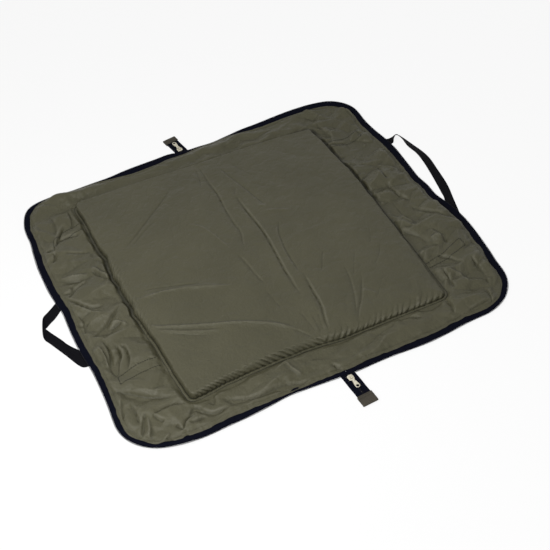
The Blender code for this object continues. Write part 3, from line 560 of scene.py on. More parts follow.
# lasting creases, in mm: depth, width, which side has the ridge, then x and y of the places it runs through
creases = (
    # down the middle of the pad
    (0.75, 1.9, 1, 3, 283, 2, 250, 1, 200, 2, 170, -3, 125, -5, 80, -5, 45, -14, 15, -15, -8),
    (0.4, 2.2, 1, -4, 272, -10, 235, -18, 203),
    (0.6, 1.9, -1, 34, 264, 40, 225, 48, 185, 56, 145, 64, 105, 68, 92),
    (0.4, 2, 1, 39, 172, 34, 160, 29, 150),
    (1.05, 1.9, 1, 33, 146, 29, 135, 30, 90, 32, 40, 31, 5, 27, -40, 22, -90, 20, -140, 19, -168),
    (0.75, 1.9, -1, 72, 44, 60, 20, 53, 0, 46, -40, 43, -80, 41, -108),
    (1.05, 2, 1, 48, -100, 43, -150, 39, -195, 31, -225, 22, -264),
    (0.65, 1.8, 1, -37, 4, -30, -40, -27, -80, -22, -104),
    (0.35, 2.4, 1, -29, -112, -26, -145, -23, -175),
    (-0.4, 2, 1, -90, 127, -72, 108, -60, 93, -50, 60, -42, 25, -36, 0),
    (0.3, 2.2, 1, 0, -185, 3, -220, 5, -255),
    (0.3, 2, -1, 16, -205, 13, -230, 10, -256),
    (0.3, 2, 1, 28, -205, 21, -230, 15, -258),
    # from the left seam
    (0.5, 3, 1, -217, 110, -165, 152, -115, 195, -58, 244),
    (0.28, 2.4, 1, -205, 108, -155, 147, -130, 160),
    (0.45, 1.8, 1, -236, 0, -185, -14, -145, -30, -118, -44),
    (-0.95, 2.3, 1, -244, -20, -190, -26, -150, -38, -110, -58, -60, -83),
    (-0.55, 2, -1, -160, -30, -130, -44, -90, -65),
    (-1.15, 2.5, 1, -246, -80, -225, -100, -190, -120, -140, -145, -100, -163, -60, -188, -30, -215, -18,
     -233),
    (-0.6, 1.9, 1, -240, -100, -200, -128, -160, -151, -125, -168),
    (0.5, 2, 1, -28, -220, -14, -240, -6, -255),
    (0.3, 2.6, 1, -215, -125, -180, -150, -145, -170),
    # in the right half
    (-0.5, 2, 1, 56, 79, 80, 68, 104, 53),
    (-0.4, 2.2, 1, 54, 99, 62, 93, 70, 88),
    (0.55, 2, 1, 120, -115, 112, -160, 102, -195, 90, -225, 74, -262),
    (0.75, 2, 1, 137, -160, 118, -195, 103, -220, 88, -240, 75, -264),
    (0.35, 2, 1, 107, -72, 95, -90, 85, -110, 74, -127),
    (0.22, 2.4, 1, 207, -55, 195, -85, 183, -105),
    (0.3, 2.2, 1, 204, -104, 185, -135, 160, -160),
    (0.25, 2, 1, 158, -95, 135, -135, 117, -168),
    (0.22, 2.2, 1, 175, -175, 150, -205, 128, -230),
    (-0.4, 4, 1, 118, -196, 126, -208, 137, -221),
    (0.28, 3, 1, 57, 264, 68, 225, 80, 195, 92, 180),
    (0.22, 2.4, 1, 68, 173, 85, 150, 102, 133),
    (-0.22, 6, 1, 60, -12, 120, -14, 190, -8),
    # in the loose border
    (2.4, 3, 1, -302, -91, -302, -120, -313, -137, -326, -164),
    (2, 3, -1, -322, -69, -318, -102, -328, -144, -325, -171),
    (-1.6, 3, 1, -336, -83, -330, -108, -333, -141),
    (1.5, 2.6, 1, -296, -99, -290, -112, -293, -138, -304, -158),
    (1.6, 6, 1, -343, -190, -313, -213, -287, -235, -248, -257),
    (1.8, 3, 1, -241, -276, -264, -268, -284, -268, -301, -271),
    (1.3, 2.6, 1, -301, -269, -295, -283, -287, -293),
    (3, 3.4, 1, -254, -305, -236, -291, -224, -306, -212, -314, -182, -315),
    (1.8, 2.2, -1, -270, -325, -257, -307, -237, -302),
    (1.5, 2.4, 1, -275, -306, -267, -325),
    (1.2, 2.6, 1, -257, -315, -240, -316, -225, -314),
    (2.6, 6.5, 1, -194, -289, -170, -308, -140, -319, -97, -324, -45, -340),
    (1, 3, 1, -174, -331, -133, -338, -90, -339, -62, -343),
    (-1.3, 3, -1, -68, -273, -64, -296, -54, -321),
    (1.2, 3, 1, -4, -313, 4, -334, 11, -349),
    (1.2, 3.2, 1, -200, -276, -202, -291, -210, -298),
    (1.3, 4, -1, -336, -214, -343, -238, -349, -263),
    (1.6, 4, -1, -309, -261, -321, -278, -333, -306),
    (1.2, 4, 1, -325, -229, -324, -253, -327, -281),
    (-1.2, 3.4, 1, -309, -269, -316, -297, -325, -314),
    (-1, 3, 1, -290, -319, -300, -326, -309, -331),
    (0.9, 2.6, 1, -196, -334, -197, -349, -202, -358),
    (2, 2.6, -1, -284, 256, -302, 230, -320, 199),
    (1.6, 2.4, 1, -340, 191, -330, 198, -319, 200),
    (1.4, 3, -1, -328, 184, -328, 172, -336, 158),
    (1.3, 4, 1, -314, 218, -290, 219, -260, 211),
    (-2, 2.8, 1, -276, 110, -266, 88, -253, 68),
    (1.3, 3, -1, -281, 103, -272, 83, -258, 63),
    (1.6, 3.6, 1, -348, 74, -327, 73, -309, 77, -293, 83),
    (2, 3.2, 1, -345, 63, -329, 36, -310, 15, -285, 10),
    (-1.4, 3, 1, -341, 35, -317, 6, -295, -18),
    (2.2, 5, 1, -334, -61, -313, -49, -288, -30, -260, -4),
    (1.3, 3.4, 1, -352, -4, -343, -18, -322, -22),
    (1.2, 3.4, -1, -340, 11, -335, -14, -341, -44),
    (1.4, 3.4, 1, -343, 113, -321, 98, -297, 88),
    (-1.2, 3, 1, -336, 117, -314, 107, -284, 93),
    (1.4, 3, 1, -340, 57, -327, 73, -325, 90),
    (1.2, 4, 1, -303, 294, -301, 259, -311, 229),
    (1.3, 4, -1, -265, 292, -267, 259, -277, 235),
    (1, 3, 1, -309, 173, -289, 161, -263, 155),
    (-1.2, 3, 1, -295, -38, -279, -47, -267, -65),
    (1.2, 3.4, 1, -310, -62, -292, -51, -270, -52),
    (1.8, 3.2, 1, 252, 205, 282, 200, 319, 184, 350, 152),
    (2, 3.2, 1, 350, 152, 357, 120, 356, 86, 352, 50),
    (1.5, 4.5, 1, 268, 283, 268, 248, 275, 219),
    (1.6, 4, 1, 333, 297, 343, 250, 343, 186),
    (-1.5, 3, 1, 322, 299, 340, 277, 343, 240),
    (1.6, 3.4, -1, 307, 95, 303, 67, 304, 44),
    (-1.6, 3, 1, 307, 100, 320, 83, 332, 66),
    (1.8, 4, 1, 273, -2, 276, -33, 268, -57),
    (-1.8, 3.2, 1, 274, -52, 279, -72, 287, -84),
    (1.3, 3, 1, 303, -38, 320, -69, 341, -109),
    (1.6, 4.5, 1, 255, -90, 268, -113, 281, -145),
    (-1.5, 3, 1, 285, -141, 298, -141, 314, -149),
    (1.3, 3.4, -1, 301, -118, 308, -138, 307, -169),
    (1.4, 4, 1, 298, 43, 300, -1, 316, -29),
    (1.3, 3.6, 1, 264, -211, 264, -240, 259, -273),
    (1.3, 3.6, 1, 249, -329, 276, -325, 302, -323),
    (1.2, 3.2, 1, 275, -180, 294, -199, 307, -229),
    (-1.2, 3.2, 1, 270, -222, 284, -241, 288, -276),
    (1.4, 3.4, 1, 232, -278, 233, -299, 228, -324),
    (1.2, 3.4, 1, 177, -280, 201, -287, 227, -285),
    (1.2, 3.4, 1, 136, -283, 162, -288, 179, -301),
    (1.4, 3, 1, 326, -210, 325, -247, 317, -293),
    (1.1, 3.2, 1, 306, -286, 304, -313, 295, -343),
)

# soft swells of loose cloth in the border, in mm: x, y, across, along, turn in degrees, height
swells = (
    (-300, 285, 30, 18, 30, 2.6),
    (-305, 175, 26, 40, -10, 2.6),
    (-298, 70, 22, 30, 35, 2.2),
    (-300, -15, 22, 26, 20, 2.4),
    (-300, -75, 18, 16, 0, 2.4),
    (-276, -132, 18, 22, 20, 2.2),
    (-285, -215, 26, 26, 0, 2),
    (-300, -265, 34, 18, 50, 2.4),
    (-180, -318, 40, 12, 6, 2.4),
    (-80, -306, 50, 12, 6, 2.6),
    (40, -304, 50, 14, 0, 2.2),
    (150, -310, 50, 14, 0, 2),
    (285, -290, 34, 24, -45, 2.2),
    (300, -120, 24, 40, 0, 2),
    (300, 50, 24, 34, 10, 2.2),
    (296, 140, 24, 32, -15, 2.2),
    (300, 240, 26, 32, 20, 2.4),
    (-240, 328, 34, 12, -4, 4.6),
    (-195, 326, 30, 11, -4, 3.6),
    (55, 324, 46, 11, -3, 4.2),
    (200, 300, 50, 14, -6, 1.8),
    (-90, 312, 40, 10, -6, 1.6),
)

# soft unevenness, in layers: height mm, cell mm, seed
ripples = {
    "seamX": ((1.3, 27, 81), (0.6, 11, 82)),
    "seamY": ((0.7, 33, 83), (0.4, 12, 84)),
    "hem": ((1.0, 17, 71), (0.7, 8, 72)),
    "pad": ((0.4, 45, 3),),
    "base": ((0.3, 60, 31),),
    "foam": ((0.15, 12, 41),),
}


def rippled(where, x, y):
    return sum(mm * height * softNoise(x, y, mm * cell, seed) for height, cell, seed in ripples[where])


# grid lines across half of the mat, with a step from each stop to the next, and both halves of them
def closeLines(*stops):
    lines = [stops[0][0]]
    for (start, step), (end, _) in zip(stops[:-1], stops[1:]):
        count = max(int(round((end - start) / step)), 1)
        lines += [start + (end - start) * k / count for k in range(1, count + 1)]
    return np.array(lines)


def mirrored(lines):
    return np.concatenate([-lines[::-1], lines[1:]])


# close together where the cover is sewn
coverEdgeX, coverEdgeY = mat["halfWidth"] - mat["rimInset"], mat["halfDepth"] - mat["rimInset"]
linesX = mirrored(closeLines((0.0, 0.0018), (0.232, 0.0011), (0.239, 0.0006), (0.2455, 0.0009),
                             (0.2525, 0.0014), (0.3465, 0.0010), (coverEdgeX, 0)))
linesY = mirrored(closeLines((0.0, 0.0019), (0.246, 0.0013), (0.2655, 0.0006), (0.2725, 0.0009),
                             (0.2795, 0.0015), (0.3315, 0.0010), (coverEdgeY, 0)))


def seamLine(side, at):
    return np.interp(at, mm * np.array(panel[side][::2]), mm * np.array(panel[side][1::2]))


def pullShare(g, pad, edge):
    return np.minimum(np.abs(g) / pad, (edge - np.abs(g)) / (edge - pad))


# plan places of the cover's grid, following the panel's seams, the corners and the hem
def coverPlan(gx, gy):
    seamX = np.where(gx < 0, seamLine("seamLeft", gy), seamLine("seamRight", gy))
    seamY = np.where(gy < 0, seamLine("seamNear", gx), seamLine("seamFar", gx))
    seamX, seamY = seamX + rippled("seamX", gy, 0 * gy), seamY + rippled("seamY", gx, 0 * gx)
    x = gx + pullShare(gx, mat["padX"], coverEdgeX) * (seamX - np.sign(gx) * mat["padX"])
    y = gy + pullShare(gy, mat["padY"], coverEdgeY) * (seamY - np.sign(gy) * mat["padY"])
    x, y = roundCorners(x, y, mat["rimInset"])
    ox, oy = outward(x, y)
    nearLeft = smooth(1 - np.hypot(x + 0.27, y + 0.29) / 0.12)
    ragged = rippled("hem", x, y) * (1 + 1.2 * nearLeft)
    hem = mat["rimInset"] - mm * aroundTable(rim["tapeShown"], x, y) + ragged
    hem = hem * smooth(1 + (rimDistance(x, y) + mat["rimInset"]) / rim["hemFade"])
    return x + hem * ox, y + hem * oy


# distance inside the cover's hem
def insideHem(x, y):
    return -rimDistance(x, y) - mm * aroundTable(rim["tapeShown"], x, y)


# distance inside the padded panel, measured on the grid
def insidePanel(gx, gy):
    return -outsideOf(gx, gy, mat["padX"], mat["padY"], panel["cornerRadius"])


def panelValue(key, gx, gy):
    return aroundTable(panel[key], gx / mat["padX"], gy / mat["padY"])


def panelTop(gx, gy):
    rise = (1 - (gx / mat["padX"])**2) * (1 - (gy / mat["padY"])**2)
    return mat["padEdge"] + mat["crownRise"] * rise - mat["foldSag"] * np.exp(-(gx / mat["foldHalf"])**2)


# how a crease falls away from its line, in widths of its own
profile = {
    "reach": 7,
    "steep": 1.9,               # on the side of its ridge
    "gentle": 0.62,
    "rounding": 0.03,
    "roundedOff": 0.173,
    "taper": 0.25,              # share of its length at each end
}


# the height that the listed creases add: steep on one side, gentle on the other
def creaseHeight(x, y):
    total = np.zeros_like(x)
    for depth, width, ridge, *places in creases:
        run = throughPoints(mm * np.array(places, float).reshape(-1, 2), 5)
        reach = profile["reach"] * mm * width
        low, high = run.min(0) - reach, run.max(0) + reach
        chosen = (x > low[0]) & (x < high[0]) & (y > low[1]) & (y < high[1])
        px, py = x[chosen], y[chosen]
        best, side, share = np.full(px.shape, 9.0), np.zeros_like(px), np.zeros_like(px)
        for k, (a, d) in enumerate(zip(run[:-1], np.diff(run, axis=0))):
            t = np.clip(((px - a[0]) * d[0] + (py - a[1]) * d[1]) / (d @ d), 0, 1)
            ex, ey = px - a[0] - t * d[0], py - a[1] - t * d[1]
            far = np.hypot(ex, ey)
            closer = far < best
            best[closer] = far[closer]
            side[closer] = np.sign(d[0] * ey - d[1] * ex)[closer]
            share[closer] = ((k + t) / (len(run) - 1))[closer]
        taper = smooth(share / profile["taper"]) * smooth((1 - share) / profile["taper"])
        signed = side * best / (mm * width) * ridge
        sharp = np.sqrt(signed**2 + profile["rounding"]) - profile["roundedOff"]
        slope = np.where(signed > 0, profile["steep"], profile["gentle"])
        total[chosen] -= mm * taper * depth * np.exp(-sharp * slope)
    return total


def swellHeight(x, y):
    total = np.zeros_like(x)
    for cx, cy, wide, deep, turn, height in swells:
        u, v = turned(x - mm * cx, y - mm * cy, turn)
        total += mm * height * np.exp(-(u / (mm * wide))**2 - (v / (mm * deep))**2)
    return total


# share of the panel's height at each place, and how far the place leans out to spread the wall evenly
def panelWall(gx, gy, inside):
    run, steep = mm * panelValue("wallRun", gx, gy), panelValue("wallSteep", gx, gy)
    power = 2 / panelValue("wallShape", gx, gy)
    part = np.clip(inside / run, 0, 1)
    leanOut = np.where(inside > 0, run * (part - 1 + np.cos(part * np.pi / 2)**power), 0)
    ox = np.sign(gx) * np.maximum(np.abs(gx) - (mat["padX"] - panel["cornerRadius"]), 0)
    oy = np.sign(gy) * np.maximum(np.abs(gy) - (mat["padY"] - panel["cornerRadius"]), 0)
    far = np.maximum(np.hypot(ox, oy), 1e-9)
    leanOut = leanOut * smooth(far / 0.002) / far
    gentle = 1 - (1 - np.clip(inside / panel["gentleRun"], 0, 1))**2
    wall = steep * np.sin(part * np.pi / 2)**power + (1 - steep) * gentle
    return wall, leanOut * ox, leanOut * oy


# how the gathers swell, wander and fade
gather = {
    "fadeIn": 0.02,             # at each end of a run of them
    "seamWidth": 0.0006,
    "even": 0.75,
    "uneven": 0.5,
    "unevenCell": 0.021,
    "wander": 0.99,
    "wanderCell": 0.017,
    "climb": 0.014,             # extra slant up the panel's wall
    "swell": 1.6,
    "roundness": 0.7,
    "wallStart": 0.0007,
    "wallEnd": 0.012,
    "wallFade": 0.006,
    "rise": 0.75,               # share of the height that goes up, and less of it on the wall
    "riseOnWall": 0.40,
    # how strong the painted shade in the gathers' valleys is, and the painted highlight on their crests
    "darkness": 0.9,
    "darkFrom": 1.8,            # height in mm that gives the full painted shade
}


# outward shift, height and painted shading of the gathers along the seams: painted shade in their valleys,
# painted highlight on their crests
def puckerShape(gx, gy, x, y, inside):
    wallShare = panelWall(gx, gy, inside)[0]
    shift, rise, puckerShading = np.zeros_like(x), np.zeros_like(x), np.zeros_like(x)
    for number, (side, start, end, height, pitch, reachIn, reachOut, slant) in enumerate(puckers):
        alongX = side in ("near", "far")
        run, other = (x, gy) if alongX else (y, gx)
        sign = -1 if side in ("near", "left") else 1
        deep = (mat["padY"] if alongX else mat["padX"]) - sign * other          # distance inside this seam
        window = smooth((run - start) / gather["fadeIn"]) * smooth((end - run) / gather["fadeIn"])
        window = window * np.where(deep > 0, smooth(1 - deep / reachIn), smooth(1 + deep / reachOut))
        window = window * smooth(np.abs(deep) / gather["seamWidth"])
        uneven = gather["uneven"] * lineNoise(run, gather["unevenCell"], 90 + number)
        window = window * (gather["even"] + uneven)
        phase = np.pi * (run + slant * (deep + gather["climb"] * wallShare)) / (mm * pitch)
        phase = phase + gather["wander"] * lineNoise(run, gather["wanderCell"], 60 + number)
        wave = gather["swell"] * np.abs(np.sin(phase))**gather["roundness"] - 1
        amount = mm * height * window * wave
        onWall = smooth(deep / gather["wallStart"]) * smooth((gather["wallEnd"] - deep) / gather["wallFade"])
        shift += amount * onWall
        rise += amount * (gather["rise"] + (gather["riseOnWall"] - gather["rise"]) * onWall)
        # painted shading: shade where the wave dips, highlight where it swells
        puckerShading -= gather["darkness"] * window * wave * min(height / gather["darkFrom"], 1)
    return shift, rise, puckerShading


# how the cover's cloth lies between its seams and its hem
lie = {
    "padCreases": 3.3,          # how strongly the listed creases show
    "padCreasesFrom": 0.004,
    "nearFrom": -0.165,         # where the panel's finer folds start, and how fast they come in
    "nearRun": 0.08,
    "leftFrom": -0.10,
    "leftRun": 0.10,
    "borderCreases": 3.4,
    "freeFromSeam": 0.005,
    "freeFromHem": 0.007,
    "puffHigh": 0.0042,
    "puffRun": 0.012,
    "puffDrawn": 0.0055,        # how much steeper it stands beside a trench with painted shade
    "puffFromHem": 0.014,
    "sideFrom": 0.235,          # from here outwards the border's folds are those of the sides
    "sideRun": 0.03,
    "rightMore": 0.7,           # the right border is rumpled more
    "rightFrom": 0.2,
    "rightRun": 0.05,
    "stripEdge": 0.0012,
    "outerShare": 0.75,         # depth of the outer row's groove
    "hemDip": 0.0009,
    "hemDipRun": 0.0012,
    "overBase": 0.0010,
    "overBaseInside": 0.0008,
}


# the cover's top surface on a grid, with what the loose cloth has settled by
def coverSurface(gx, gy, settled=None):
    x, y = coverPlan(gx, gy)
    inside = insidePanel(gx, gy)
    wall, outX, outY = panelWall(gx, gy, inside)
    x, y = x + outX, y + outY
    lasting = creaseHeight(x, y)
    # the panel, drawn into finer folds towards the near seam and the left one
    nearPart = smooth((lie["nearFrom"] - y) / lie["nearRun"]) * smooth((x + 0.03) / 0.04)
    leftPart = smooth((lie["leftFrom"] - x) / lie["leftRun"]) * smooth((0.16 - np.abs(y + 0.02)) / 0.08)
    top = panelTop(gx, gy) + rippled("pad", x, y) + facetFolds("pad", x, y)
    top = top + nearPart * facetFolds("padNear", x, y) + leftPart * facetFolds("padLeft", x, y)
    onPad = mat["seamHeight"] + (top - mat["seamHeight"]) * wall
    onPad = onPad + lie["padCreases"] * lasting * smooth(inside / lie["padCreasesFrom"])
    # the loose border, puffed up between the seam and the hem
    trench = panelValue("trenchDark", gx, gy)
    loose, toHem = np.maximum(-inside - panel["secondRow"], 0), np.maximum(insideHem(x, y), 0)
    free = smooth(loose / lie["freeFromSeam"]) * smooth(toHem / lie["freeFromHem"])
    puffRun = lie["puffRun"] - lie["puffDrawn"] * np.clip(trench, 0, 1)
    puff = lie["puffHigh"] * smooth(loose / puffRun) * smooth(toHem / lie["puffFromHem"])
    sideways = smooth((np.abs(gx) - lie["sideFrom"]) / lie["sideRun"])
    rumple = sideways * facetFolds("sideBorder", x, y) + (1 - sideways) * facetFolds("endBorder", x, y)
    rumple = rumple * (1 + lie["rightMore"] * smooth((gx - lie["rightFrom"]) / lie["rightRun"]))
    border = mat["seamHeight"] + puff + free * (lie["borderCreases"] * lasting + swellHeight(x, y) + rumple)
    # the two rows of stitches sink in, and the strip between them stands up
    toOuter = inside + panel["secondRow"]
    strip = np.where(inside < 0, smooth(-inside / lie["stripEdge"]) * smooth(toOuter / lie["stripEdge"]), 0)
    z = np.where(inside > 0, onPad, border) + (panel["stripRise"] - panel["hollow"] * trench) * strip
    for key, depth, distance in (("rowShown", 1.0, inside), ("outerShown", lie["outerShare"], toOuter)):
        groove = np.exp(-(distance / panel["grooveWidth"])**2)
        z = z - panelValue(key, gx, gy) * depth * panel["grooveDepth"] * groove
    shift, rise, _ = puckerShape(gx, gy, x, y, inside)
    z = z + rise - lie["hemDip"] * smooth(1 - toHem / lie["hemDipRun"])
    wideSide = np.abs(gx) / mat["padX"] > np.abs(gy) / mat["padY"]
    x = x + np.where(wideSide, np.sign(gx) * shift, 0)
    y = y + np.where(wideSide, 0, np.sign(gy) * shift)
    points = np.stack([x, y, z], -1)
    if settled is not None:
        points = points + settled * (free * (inside < 0))[..., None]
    lowest = mat["baseHigh"] + lie["overBase"] + lie["overBaseInside"] * (inside > -0.03)
    points[..., 2] = np.maximum(points[..., 2], lowest)
    return layDown(points), inside


# the border's spare nylon: how it is simulated, and the furthest that it may move
cloth = {
    "cell": 0.0050,
    "frames": 12,
    "quality": 5,
    "most": 0.0010,
    "mass": 0.09,
    "stretch": 14,
    "shear": 6,
    "bending": 0.04,
    "pin": 30,
    "extra": 0.025,
    "pressure": 0.06,
}


# lets Blender's cloth take up a little spare nylon in the border, held at the seams and hem
def settleBorder():
    across, along = (np.linspace(-edge, edge, int(2 * edge / cloth["cell"]) + 1)
                     for edge in (coverEdgeX, coverEdgeY))
    gx, gy = np.meshgrid(across, along)
    start, inside = coverSurface(gx, gy)
    index = np.arange(gx.size).reshape(gx.shape)
    faces = np.stack([index[:-1, :-1], index[:-1, 1:], index[1:, 1:], index[1:, :-1]], -1).reshape(-1, 4)
    loose = -inside - panel["secondRow"]
    held = 1 - smooth(loose / 0.006) * smooth(insideHem(*coverPlan(gx, gy)) / 0.007)
    sheetPiece = makePiece("settling_cloth", start.reshape(-1, 3), faces, coverNylon)
    group = sheetPiece.vertex_groups.new(name="held")
    for k, amount in enumerate(held.ravel()):
        if amount > 0.001:
            group.add([k], float(amount), "REPLACE")
    modifier = sheetPiece.modifiers.new("settle", "CLOTH")
    settings = modifier.settings
    settings.vertex_group_mass = "held"
    settings.quality = cloth["quality"]
    settings.mass = cloth["mass"]
    settings.tension_stiffness = settings.compression_stiffness = cloth["stretch"]
    settings.shear_stiffness = cloth["shear"]
    settings.bending_stiffness = cloth["bending"]
    settings.pin_stiffness = cloth["pin"]
    settings.shrink_min = -cloth["extra"]
    settings.effector_weights.gravity = 0
    settings.use_pressure = True
    settings.uniform_pressure_force = cloth["pressure"]
    modifier.collision_settings.use_collision = False
    modifier.collision_settings.use_self_collision = False
    for number in range(1, cloth["frames"] + 1):
        bpy.context.scene.frame_set(number)
    seen = sheetPiece.evaluated_get(bpy.context.evaluated_depsgraph_get())
    flatList = np.zeros(gx.size * 3, dtype=np.float32)
    seen.data.vertices.foreach_get("co", flatList)
    bpy.context.scene.frame_set(1)
    moved = flatList.reshape(start.shape).astype(float) - start
    bpy.data.objects.remove(sheetPiece, do_unlink=True)
    size = np.maximum(np.linalg.norm(moved, axis=-1, keepdims=True), 1e-9)
    print("cloth settled, largest move mm", round(float(size.max()) / mm, 2))
    return across, along, moved * np.minimum(1, cloth["most"] / size)


# smooth reading of the settled cloth on the fine grid
def smoothWeights(coarse, fine):
    far = np.abs(fine[:, None] - coarse[None, :]) / (coarse[1] - coarse[0])
    weights = np.where(far < 1, 2 / 3 - far**2 + far**3 / 2, np.clip(2 - far, 0, None)**3 / 6)
    return weights / weights.sum(1, keepdims=True)


settled = None
across, along, moved = settleBorder()
weightsX, weightsY = smoothWeights(across, linesX), smoothWeights(along, linesY)
settled = np.stack([weightsY @ moved[..., k] @ weightsX.T for k in range(3)], -1)


# mean of each point's neighbours, for finding creases and ridges to paint shade and highlight on
def neighbourMean(values):
    for _ in range(3):
        padded = np.pad(values, 1, mode="edge")
        values = (padded[:-2, 1:-1] + padded[2:, 1:-1] + padded[1:-1, :-2] + padded[1:-1, 2:]) / 4
    return values


# how strong the painted shade is in the folds, seams and trenches, and the painted highlight on ridges
shades = {
    "leastDip": 0.00006,
    "fullDip": 0.00060,
    "ridgeHighlight": -0.8,               # limits for the painted highlight on ridges and for the painted shade in valleys
    "dark": 0.5,
    "wallBand": 0.010,          # just inside the seam they show half
    "onWall": 0.5,
    "footPower": 0.7,
    "trenchPower": 1.5,
    "plain": 0.8,
    "patchy": 0.5,
    "patchCell": 0.012,
    "puckerShading": 0.8,
    "hemFade": 0.005,
    "seamInner": 0.0006,
    "seamOuter": 0.0010,
    "outerRow": 0.8,
}


# painted shading of the cover: 1 for painted shade in a fold, seam, trench or on the panel's wall, -1 for a
# painted highlight on a ridge
def coverPaintedShading(top, gx, gy, inside):
    x, y = coverPlan(gx, gy)
    # painted shade in hollows and painted highlight on ridges, by how far a point lies below its neighbours
    dip = neighbourMean(top[..., 2]) - top[..., 2]
    shading = np.sign(dip) * np.maximum(np.abs(dip) - shades["leastDip"], 0) / shades["fullDip"]
    shading = np.clip(shading, shades["ridgeHighlight"], shades["dark"])
    shading = shading * np.where((inside > 0) & (inside < shades["wallBand"]), shades["onWall"], 1.0)
    # painted shade on the panel's wall, darker towards its foot, and in the trench outside the seam
    foot = np.clip(1 - panelWall(gx, gy, inside)[0], 0, 1)**shades["footPower"]
    beyond = np.maximum(-inside - panel["secondRow"], 0) / (mm * panelValue("trenchWide", gx, gy))
    trench = np.where(inside > 0, panelValue("wallShade", gx, gy) * foot,
                      panelValue("trenchDark", gx, gy) * np.exp(-beyond**shades["trenchPower"]))
    trench = trench * (shades["plain"] + shades["patchy"] * softNoise(gx, gy, shades["patchCell"], 131))
    # painted shade in the gathers' valleys and painted highlight on their crests
    puckerShading = np.clip(puckerShape(gx, gy, x, y, inside)[2], -0.9, 1)
    shading = (shading + shades["puckerShading"] * puckerShading + trench) * smooth(insideHem(x, y) / shades["hemFade"])
    # painted shade lines along the grooves of both rows of stitches
    rowWidth = np.where(inside > 0, shades["seamInner"], shades["seamOuter"])
    row = panelValue("rowShown", gx, gy) * np.exp(-(inside / rowWidth)**2)
    outerRow = np.exp(-((inside + panel["secondRow"]) / shades["seamOuter"])**2)
    return np.clip(shading + row + shades["outerRow"] * panelValue("outerShown", gx, gy) * outerRow, -1, 1)


# bakes the placement of a piece of one half into its mesh
def bendWithHalf(piece):
    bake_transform(piece)


# the two halves of a sheet that lies over the whole mat
def makeHalves(name, top, low, gx, gy, shading, material, node):
    made = {}
    middle = top.shape[1] // 2
    flat = gridOf(gx, gy)
    for half, part in (("left", slice(0, middle + 1)), ("right", slice(middle, None))):
        made[half] = makeShell(name + "_" + half, top[:, part], low[:, part], material, flat[:, part],
                               shading=shading[:, part])
        bendWithHalf(made[half])
        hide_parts(node + "_" + half, node + "_spine")
    return made


gridX, gridY = np.meshgrid(linesX, linesY)
coverTop, coverInside = coverSurface(gridX, gridY, settled)
coverNormals = unit(np.cross(np.gradient(coverTop, axis=1), np.gradient(coverTop, axis=0)))
coverUnder = coverTop - coverNormals * 0.0007
coverUnder[..., 2] = np.maximum(coverUnder[..., 2], mat["baseHigh"] + 0.0003)
covers = makeHalves("cover_skin", coverTop, coverUnder, gridX, gridY,
                    coverPaintedShading(coverTop, gridX, gridY, coverInside), coverNylon, "cover")
print("cover made", coverTop.shape)


# a point of the cover's top and its normal, from grid places
def onCover(gx, gy):
    i = np.clip(np.searchsorted(linesX, gx) - 1, 0, len(linesX) - 2)
    j = np.clip(np.searchsorted(linesY, gy) - 1, 0, len(linesY) - 2)
    u = np.clip((gx - linesX[i]) / (linesX[i + 1] - linesX[i]), 0, 1)[:, None]
    v = np.clip((gy - linesY[j]) / (linesY[j + 1] - linesY[j]), 0, 1)[:, None]
    return [(values[j, i] * (1 - u) + values[j, i + 1] * u) * (1 - v)
            + (values[j + 1, i] * (1 - u) + values[j + 1, i + 1] * u) * v
            for values in (coverTop, coverNormals)]


# grid places of plan points, found by a few steps back
def gridPlaces(x, y):
    gx, gy = np.array(x, float), np.array(y, float)
    for _ in range(12):
        px, py = coverPlan(gx, gy)
        gx, gy = gx + (x - px) * 0.8, gy + (y - py) * 0.8
    return gx, gy


thread = {
    "thick": 0.00052,
    "length": 0.0033,
    "pitch": 0.0037,
    "sides": 5,
    "flat": 0.8,
    "lift": 0.0001,
    "atFold": 0.0015,           # no stitch is nearer the middle line
    "patchPitch": 1.12,         # against a seam's stitches
    "patchScale": 1.25,
    "hemScale": 0.7,
    # rings of one stitch: place along it, size, height
    "rings": ((-1, 0.45, -0.7), (-0.62, 1.0, 0.15), (0, 1.08, 0.4), (0.62, 1.0, 0.15), (1, 0.45, -0.7)),
}


# one small thread bridge for each stitch, sunk into the cloth at its ends
def stitchMesh(name, centres, along, normals, material, scale=1.0, slot="nylon"):
    along = unit(along)
    sideways = unit(np.cross(along, normals))
    thick, length, sides = thread["thick"] * scale, thread["length"] * scale, thread["sides"]
    points = []
    for place, size, high in thread["rings"]:
        middle = centres + along * (place * length / 2) + normals * (high * thick)
        for turn in 2 * math.pi * np.arange(sides) / sides:
            points.append(middle + sideways * (math.cos(turn) * thick * size)
                          + normals * (math.sin(turn) * thick * size * thread["flat"]))
    rings = np.arange(len(points)).reshape(-1, sides)
    pattern = [quad for k in range(len(rings) - 1) for quad in joinRings(rings[k], rings[k + 1])]
    pattern += [rings[0, ::-1].tolist(), rings[-1].tolist()]
    faces = [[v + n * len(points) for v in face] for n in range(len(centres)) for face in pattern]
    points = np.stack(points, 1).reshape(-1, 3)
    piece = makePiece(name, points, faces, material, points[:, :2], 70)
    return piece


# evenly spaced stitches on the cover: their middles, directions and normals
def stitchPlaces(gx, gy, pitch):
    points, normals = onCover(gx, gy)
    lengths = pathLengths(points)
    places = np.linspace(0, lengths[-1], int(lengths[-1] / pitch), endpoint=False) + pitch / 2
    points, normals = readAlong(places, lengths, points), readAlong(places, lengths, normals)
    return points, np.gradient(points, axis=0), normals


# a row of stitches along grid places, shared between the two halves at the fold
def sewRow(name, gx, gy, material, scale=1.0):
    points, along, normals = stitchPlaces(gx, gy, thread["pitch"] * scale)
    points = points + normals * thread["lift"]
    for half, sign in halves.items():
        own = sign * points[:, 0] > thread["atFold"]
        piece = stitchMesh(name + "_" + half, points[own], along[own], normals[own], material, scale)
        bendWithHalf(piece)


